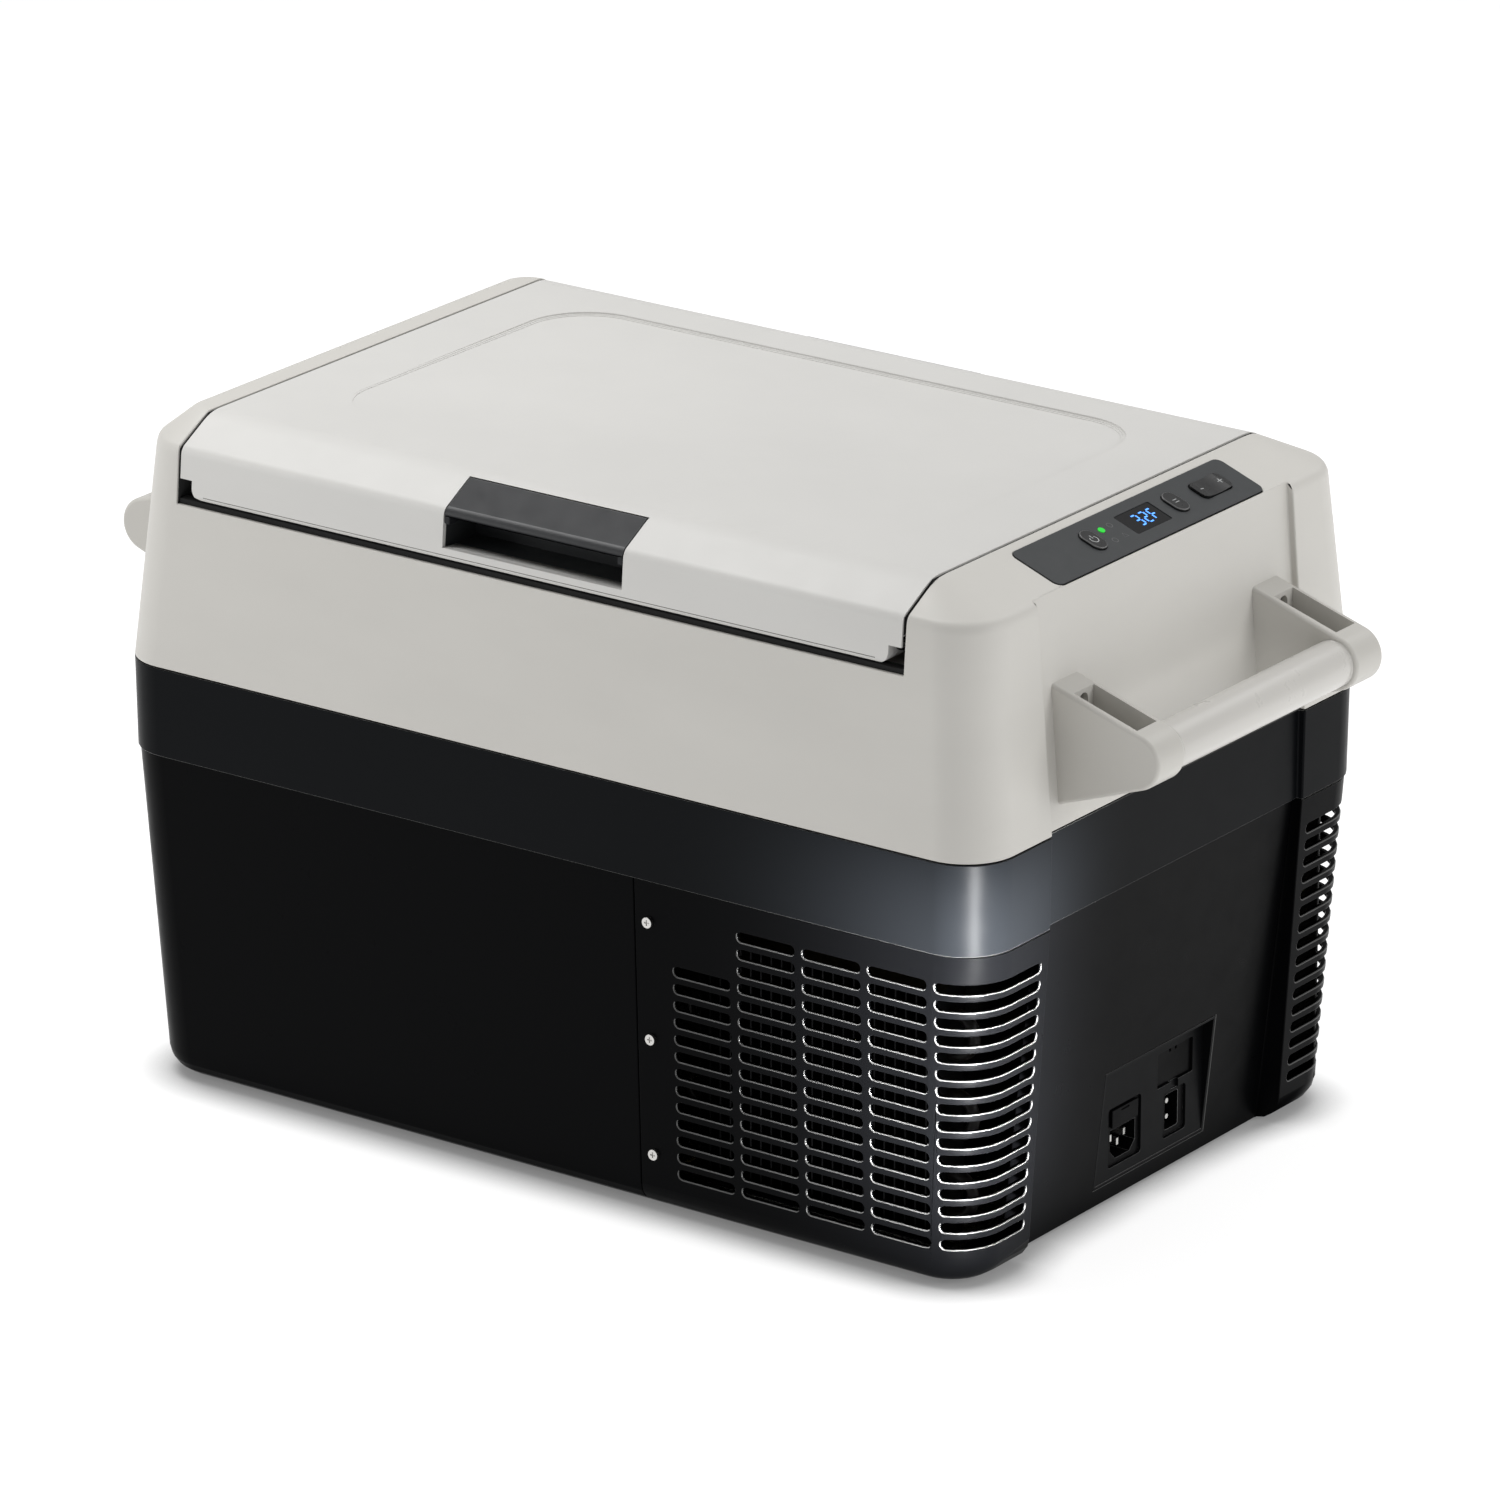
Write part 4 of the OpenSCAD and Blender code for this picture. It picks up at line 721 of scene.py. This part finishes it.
# Every node that still shows takes its look as it is
for node, obj in NODES.items():
    if not obj.hide_render:
        obj.data.materials.clear()
        obj.data.materials.append(LOOKS[NODE_LOOKS.get(node, slot_of_node(node))])


# --- Seals, sills and lines of the lid -----------------------------------------------------

# Black seal lying on the ledge below each skirt of the lid
SEAL_YS = (181.6, 188.4)
for name, side in (("front_seal", -1), ("rear_seal", 1)):
    bm = bmesh.new()
    near, far = sorted(side * y for y in SEAL_YS)
    block(bm, (SLOT_ENDS[0] + 0.6, near, DECK + 0.05), (SLOT_ENDS[1] - 0.6, far, DECK + 3.4))
    piece_from(bm, name, "case", "rubber_black", width=0.5)


# Thin black seals down both sides of the lid: on the ends of the slot, and on the lid's ends
def lid_outline(inset, bottom):
    """Outline of the lid in (y, z), from the front's lower edge over to the rear's."""
    return front_to_rear([(CASE_HY - DRAFT * (bottom - SEAM) - inset, bottom),
                          (CREASE_HY - inset, CREASE - 0.6 * inset),
                          (TOP_HY - 0.27 * inset, CASE_TOP - inset)])


SEAL_INSET = 1.3
SEAL_THICK = 0.4
for body, bottom, ends, outward in (("case", DECK + 0.1, SLOT_ENDS, -1), ("lid", 381, LID_ENDS, 1)):
    for name, x, side in (("left", ends[0], -1), ("right", ends[1], 1)):
        thickness = outward * side * SEAL_THICK
        bm = bmesh.new()
        prism(bm, lid_outline(SEAL_INSET, bottom), *sorted((x + thickness / 8, x + thickness)))
        piece_from(bm, f"{name}_{body}_side_seal", body, "rubber_black")

# Sills of the finger pockets, and a fine grey line along each skirt, a painted shade that stands for a
# groove
SILL_HX = 62.8
SILL = [(187.6, 369.45), (187.6, 368.75), (177, 368.75), (177, 368.9)]
LINE_Z = 365.5
LINE_INSET = 17
skirt_y = CASE_HY - DRAFT * (LINE_Z - SEAM)
SKIRT_LINE = [(skirt_y + 0.05, LINE_Z - 0.3), (skirt_y + 0.02, LINE_Z + 0.1),
              (skirt_y - 0.4, LINE_Z + 0.1), (skirt_y - 0.4, LINE_Z - 0.3)]
for name, side in (("front", -1), ("rear", 1)):
    bm = bmesh.new()
    prism(bm, [(side * y, z) for y, z in SILL], LID_MID - SILL_HX, LID_MID + SILL_HX)
    piece_from(bm, f"{name}_sill", "lid", "lid_light")
    bm = bmesh.new()
    prism(bm, [(side * y, z) for y, z in SKIRT_LINE], LID_ENDS[0] + LINE_INSET, LID_ENDS[1] - LINE_INSET)
    piece_from(bm, f"{name}_skirt_line", "lid", "lid_light", "groove_painted_shade")


# --- Machine bay and grips -----------------------------------------------------------------

# Black sheet on the wall between the tub and the bay, a painted shade that keeps the bay dark
bm = bmesh.new()
block(bm, (57.2, -182, 8), (57.8, 182, 222))
piece_from(bm, "bay_shade_sheet", "case", "rubber_black", width=0.2)

# Black sheet bent round the rear corner of the bay, behind the slots, a painted shade that keeps the
# slots dark
BEND_X = 269
BEND_Y = 161
BEND_R = 24
SHADE_SHEET_THICK = 1
turns = [math.radians(90 - 12 * k) for k in range(7)]
plan = [(238, BEND_Y + BEND_R)]
plan += [(BEND_X + BEND_R * math.cos(t), BEND_Y + BEND_R * math.sin(t)) for t in turns]
inner = BEND_R - SHADE_SHEET_THICK
plan += [(BEND_X + inner * math.cos(t), BEND_Y + inner * math.sin(t)) for t in reversed(turns)]
plan += [(238, BEND_Y + inner)]
bm = bmesh.new()
prism(bm, plan, 16, 194)
stand_up = Matrix(((0, 1, 0), (0, 0, 1), (1, 0, 0)))
bmesh.ops.rotate(bm, matrix=stand_up, verts=bm.verts)
piece_from(bm, "rear_bay_shade_sheet", "case", "rubber_black", width=0.2)

# Grips, turned: a slight swell along the middle and a groove beside each bracket
GRIP_HALF = [(93.3, 6.2), (93.3, 13.3), (92.6, 13.9), (87.2, 13.9), (86.9, 13.3), (86.0, 13.3),
             (85.6, 13.75), (84, 13.85), (60, 13.93), (30, 13.97)]
for name, side in (("right_grip", 1), ("left_grip", -1)):
    bm = bmesh.new()
    turned(bm, side * GRIP_X, GRIP_Z, front_to_rear(GRIP_HALF))
    grip = piece_from(bm, f"{name}_look", body_of_node(name), slot_of_node(name), "grip_light")
    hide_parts(name)


# --- Marks on the controls -----------------------------------------------------------------

def on_slope(u, v, lift):
    """A place on the control slope: u down the slope, v towards the rear, in mm."""
    x = PANEL_X + u * math.cos(SLOPE) + lift * math.sin(SLOPE)
    z = PANEL_Z - u * math.sin(SLOPE) + lift * math.cos(SLOPE)
    return x, PANEL_Y + v, z


def band(bm, path, width, level, closed=False):
    """Adds a printed line of one width along a path of (u, v), at a level above the slope."""
    rows = []
    last = len(path) - 1
    for k, (u, v) in enumerate(path):
        before = path[k - 1] if closed or k else path[k]
        after = path[(k + 1) % len(path)] if closed or k < last else path[k]
        turn = Vector((after[0] - before[0], after[1] - before[1])).normalized() * width / 2
        row = []
        for s, lift in ((1, -0.1), (1, 0.08), (-1, 0.08), (-1, -0.1)):
            a, b = u - s * turn.y, v + s * turn.x
            row.append(bm.verts.new(on_slope(a, b, level(a, b) + lift)))
        rows.append(row)
    for k in range(len(rows) if closed else last):
        here, there = rows[k], rows[(k + 1) % len(rows)]
        for i in range(4):
            bm.faces.new((here[i], here[(i + 1) % 4], there[(i + 1) % 4], there[i]))
    if not closed:
        bm.faces.new(reversed(rows[0]))
        bm.faces.new(rows[-1])
    bmesh.ops.recalc_face_normals(bm, faces=bm.faces)


def arc(u, v, radius, start=0, end=360, steps=24):
    """Points of an arc about (u, v); angle 0 points down the slope."""
    count = steps if end - start == 360 else steps + 1
    turns = [math.radians(start + (end - start) * k / steps) for k in range(count)]
    return [(u + radius * math.cos(t), v + radius * math.sin(t)) for t in turns]


def flat(level):
    """A level that is the same everywhere."""
    return lambda u, v: level


DISH_R = 60.9


def rocker_top(_u, v):
    """Height of the rocker's dished top."""
    return DISH_R + 1.1 - math.sqrt(DISH_R ** 2 - (v - ROCKER_V) ** 2)


# The row of keys on the slope, and the marks on it: body, look, level, line width, lines
ROW_U = -0.8
POWER_V = -45.5
SET_V = 37.2
ROCKER_V = 73.2
MARKS = {
    "power_mark": ("power_key", "print_light", flat(2.0), 0.6, [
        (arc(ROW_U + 0.4, POWER_V, 2.7, -138, 138), False),
        ([(ROW_U - 3.4, POWER_V), (ROW_U - 0.4, POWER_V)], False)]),
    "set_mark": ("set_key", "print_light", flat(2.0), 0.55, [
        ([(ROW_U - 1.1, SET_V - 1.9), (ROW_U - 1.1, SET_V + 1.9)], False),
        ([(ROW_U + 1.1, SET_V - 1.9), (ROW_U + 1.1, SET_V + 1.9)], False)]),
    "rocker_marks": ("rocker_key", "print_light", rocker_top, 0.6, [
        ([(ROW_U, ROCKER_V - 10.7), (ROW_U, ROCKER_V - 7.3)], False),
        ([(ROW_U, ROCKER_V + 7.1), (ROW_U, ROCKER_V + 11.1)], False),
        ([(ROW_U - 2, ROCKER_V + 9.1), (ROW_U + 2, ROCKER_V + 9.1)], False)]),
    "panel_marks": ("case", "print_faint", flat(0.5), 0.45, [
        (arc(-6.0, -21.8, 1.9), True),
        (arc(5.2, -31.6, 1.9), True),
        ([(6.4, -23.4), (6.4, -19.4), (2.9, -21.4)], True)]),
}
for name, (body, look, level, width, lines) in MARKS.items():
    bm = bmesh.new()
    for path, closed in lines:
        band(bm, path, width, level, closed)
    piece_from(bm, name, body, "white_plastic", look)


# --- Springs and basket --------------------------------------------------------------------

SPRING_TURNS = 8
SPRING_STEPS = 16
SPRING_R = 3.95
SPRING_LENGTH = 9.8
SPRING_WIRE = 0.5
SPRING_STARTS = (LID_MID - 77.4, LID_MID + 67.6)
bm = bmesh.new()
for side in (-1, 1):
    for start in SPRING_STARTS:
        coil = []
        for k in range(SPRING_TURNS * SPRING_STEPS + 1):
            turn = math.tau * k / SPRING_STEPS
            x = start + SPRING_LENGTH * k / (SPRING_TURNS * SPRING_STEPS)
            y = side * (SHAFT_Y + SPRING_R * math.cos(turn))
            coil.append((x, y, SHAFT_Z + SPRING_R * math.sin(turn)))
        tube(bm, coil, SPRING_WIRE)
springs = piece_from(bm, "latch_coils", "lid", "steel")
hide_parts("latch_springs")

# Wire basket: hoops across and along, rings round the sides, and an eye for each end of a bail
BASKET_X = (-226, 10)
BASKET_HY = 144
BASKET_Z = (50, 300)
WIRE = 1.15
TOP_WIRE = 1.5
EYE_WIRE = 1.1
EYE_R = 3
EYE_Z = 293
EYE_Y = 60
EYE_XS = (-218.45, 2.45)
HOOP_BEND = 9
RING_BEND = 10
END_X = (BASKET_X[0] + 1.9, BASKET_X[1] - 1.9)
SIDE_HY = BASKET_HY - 1.9
HOOP_TOP = BASKET_Z[1] - 2
bm = bmesh.new()
for k in range(8):
    x = BASKET_X[0] + 1.5 + k * 33.286
    x = min(max(x, END_X[0] + 4), END_X[1] - 4)
    low = BASKET_Z[0] + 1.2
    hoop = [(x, -SIDE_HY, HOOP_TOP), (x, -SIDE_HY, low), (x, SIDE_HY, low), (x, SIDE_HY, HOOP_TOP)]
    tube(bm, bent(hoop, HOOP_BEND), WIRE)
for k in range(9):
    y = -139.45 + 34.86 * k
    y = min(max(y, 4 - SIDE_HY), SIDE_HY - 4)
    low = BASKET_Z[0] + 1.8
    hoop = [(END_X[0], y, HOOP_TOP), (END_X[0], y, low), (END_X[1], y, low), (END_X[1], y, HOOP_TOP)]
    tube(bm, bent(hoop, HOOP_BEND), WIRE)
for k, gauge in enumerate((WIRE, WIRE, WIRE, TOP_WIRE), 1):
    z = BASKET_Z[0] + 1.5 + k * 61.75
    reach = BASKET_HY - 0.1 - gauge
    left, right = BASKET_X[0] + 0.1 + gauge, BASKET_X[1] - 0.1 - gauge
    loop = [(left, -reach, z), (right, -reach, z), (right, reach, z), (left, reach, z)]
    tube(bm, bent(loop, RING_BEND, True), gauge, closed=True)
eye_turns = [math.tau * k / 20 for k in range(20)]
for x, wall in zip(EYE_XS, END_X):
    for y in (-EYE_Y, EYE_Y):
        eye = [(x + EYE_R * math.cos(t), y, EYE_Z + EYE_R * math.sin(t)) for t in eye_turns]
        tube(bm, eye, EYE_WIRE, closed=True)
        stem = x + math.copysign(EYE_R, wall - x)
        tube(bm, [(stem, y, EYE_Z), (wall, y, EYE_Z), (wall, y, HOOP_TOP)], EYE_WIRE)
basket = piece_from(bm, "wire_basket_look", body_of_node("wire_basket"), slot_of_node("wire_basket"))
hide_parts("wire_basket")


# --- Stage ---------------------------------------------------------------------------------

def area_light(name, where, aim, size, power):
    """A soft lamp at a place, turned towards another, with its sides in metres and power in watts."""
    data = bpy.data.lights.new(name, "AREA")
    data.shape = "RECTANGLE"
    data.size, data.size_y = size
    data.energy = power
    lamp = bpy.data.objects.new(name, data)
    lamp.visible_camera = False
    bpy.context.scene.collection.objects.link(lamp)
    lamp.location = where
    lamp.rotation_euler = (Vector(aim) - Vector(where)).to_track_quat("-Z", "Y").to_euler()
    return lamp


def looks_of(name, nodes):
    """A collection of the pieces that stand for some nodes."""
    group = bpy.data.collections.new(name)
    for node in nodes:
        group.objects.link(bpy.data.objects[f"{node}_look"])
    return group


def make_stage():
    """Pale floor that glows white, with a painted contact shadow: it glows less where it lies close to
    the case.
    """
    bm = bmesh.new()
    bmesh.ops.create_grid(bm, x_segments=1, y_segments=1, size=12)
    mesh = bpy.data.meshes.new("floor")
    bm.to_mesh(mesh)
    bm.free()
    floor = bpy.data.objects.new("floor", mesh)
    bpy.context.scene.collection.objects.link(floor)
    n = Nodes("floor_paper")
    # Painted contact shadow: the floor's glow drops where ambient occlusion finds the case nearby
    painted_contact_shadow = n.add("ShaderNodeAmbientOcclusion")
    painted_contact_shadow.inputs["Distance"].default_value = 0.036
    n.shape(
        Base_Color=n.mix(n.noise(3.0), (0.42, 0.42, 0.42), (0.44, 0.44, 0.44)),
        Emission_Strength=n.between(painted_contact_shadow.outputs["AO"], 0.16, 0.79, 0.48, 0.93))
    n.set(Roughness=0.9, IOR=1.1, Emission_Color=(1, 1, 1, 1))
    mesh.materials.append(n.material)


make_stage()
world = bpy.data.worlds.new("studio")
world.use_nodes = True
sky = world.node_tree.nodes["Background"]
sky.inputs["Color"].default_value = (1, 1, 1, 1)
sky.inputs["Strength"].default_value = 0.37
bpy.context.scene.world = world
bpy.context.scene.view_settings.view_transform = "Standard"

area_light("key_top", (-0.8, -0.2, 1.9), (0, 0, 0.3), (1.1, 1.1), 20)
area_light("back_top", (0.6, 1.2, 1.9), (0.1, 0, 0.3), (1.2, 1.2), 9)
area_light("front_left", (-1.0, -1.0, 0.7), (-0.3, -0.1, 0.2), (0.5, 0.5), 2.2)

# The end's fill leaves out the dark shells, and a narrow strip brightens their front corner
end_fill = area_light("end_fill", (2.4, 0.5, 1.1), (0.3, 0, 0.2), (0.9, 0.9), 15)
shaded_parts = looks_of("shaded_parts", ("belt_band", "base_shell"))
for linked in shaded_parts.collection_objects:
    linked.light_linking.link_state = "EXCLUDE"
end_fill.light_linking.receiver_collection = shaded_parts
strip = area_light("corner_strip", (0.506, -0.339, 0.11), (0.29, -0.18, 0.14), (0.10, 0.22), 2.2)
strip.data.spread = math.radians(24)
strip.light_linking.receiver_collection = looks_of(
    "dark_parts", ("belt_band", "base_shell", "front_vent_cover", "rear_vent_cover", "inlet_panel"))


# --- Camera --------------------------------------------------------------------------------

CAMERA_AZIMUTH = 35.804
CAMERA_ELEVATION = 19.891
CAMERA_DISTANCE = 5.6395
CAMERA_TARGET = Vector((0.0072, 0, 0.2089))
SENSOR_MM = 36
FOCAL_IN_WIDTHS = 9718.4 / 1500
az, el = math.radians(CAMERA_AZIMUTH), math.radians(CAMERA_ELEVATION)
toward = Vector((math.sin(az) * math.cos(el), -math.cos(az) * math.cos(el), math.sin(el)))
camera_data = bpy.data.cameras.new("camera")
camera_data.sensor_width = SENSOR_MM
camera_data.lens = SENSOR_MM * FOCAL_IN_WIDTHS
camera_data.clip_end = 100
camera = bpy.data.objects.new("camera", camera_data)
bpy.context.scene.collection.objects.link(camera)
camera.location = CAMERA_TARGET + toward * CAMERA_DISTANCE
camera.rotation_euler = (-toward).to_track_quat("-Z", "Y").to_euler()
bpy.context.scene.camera = camera
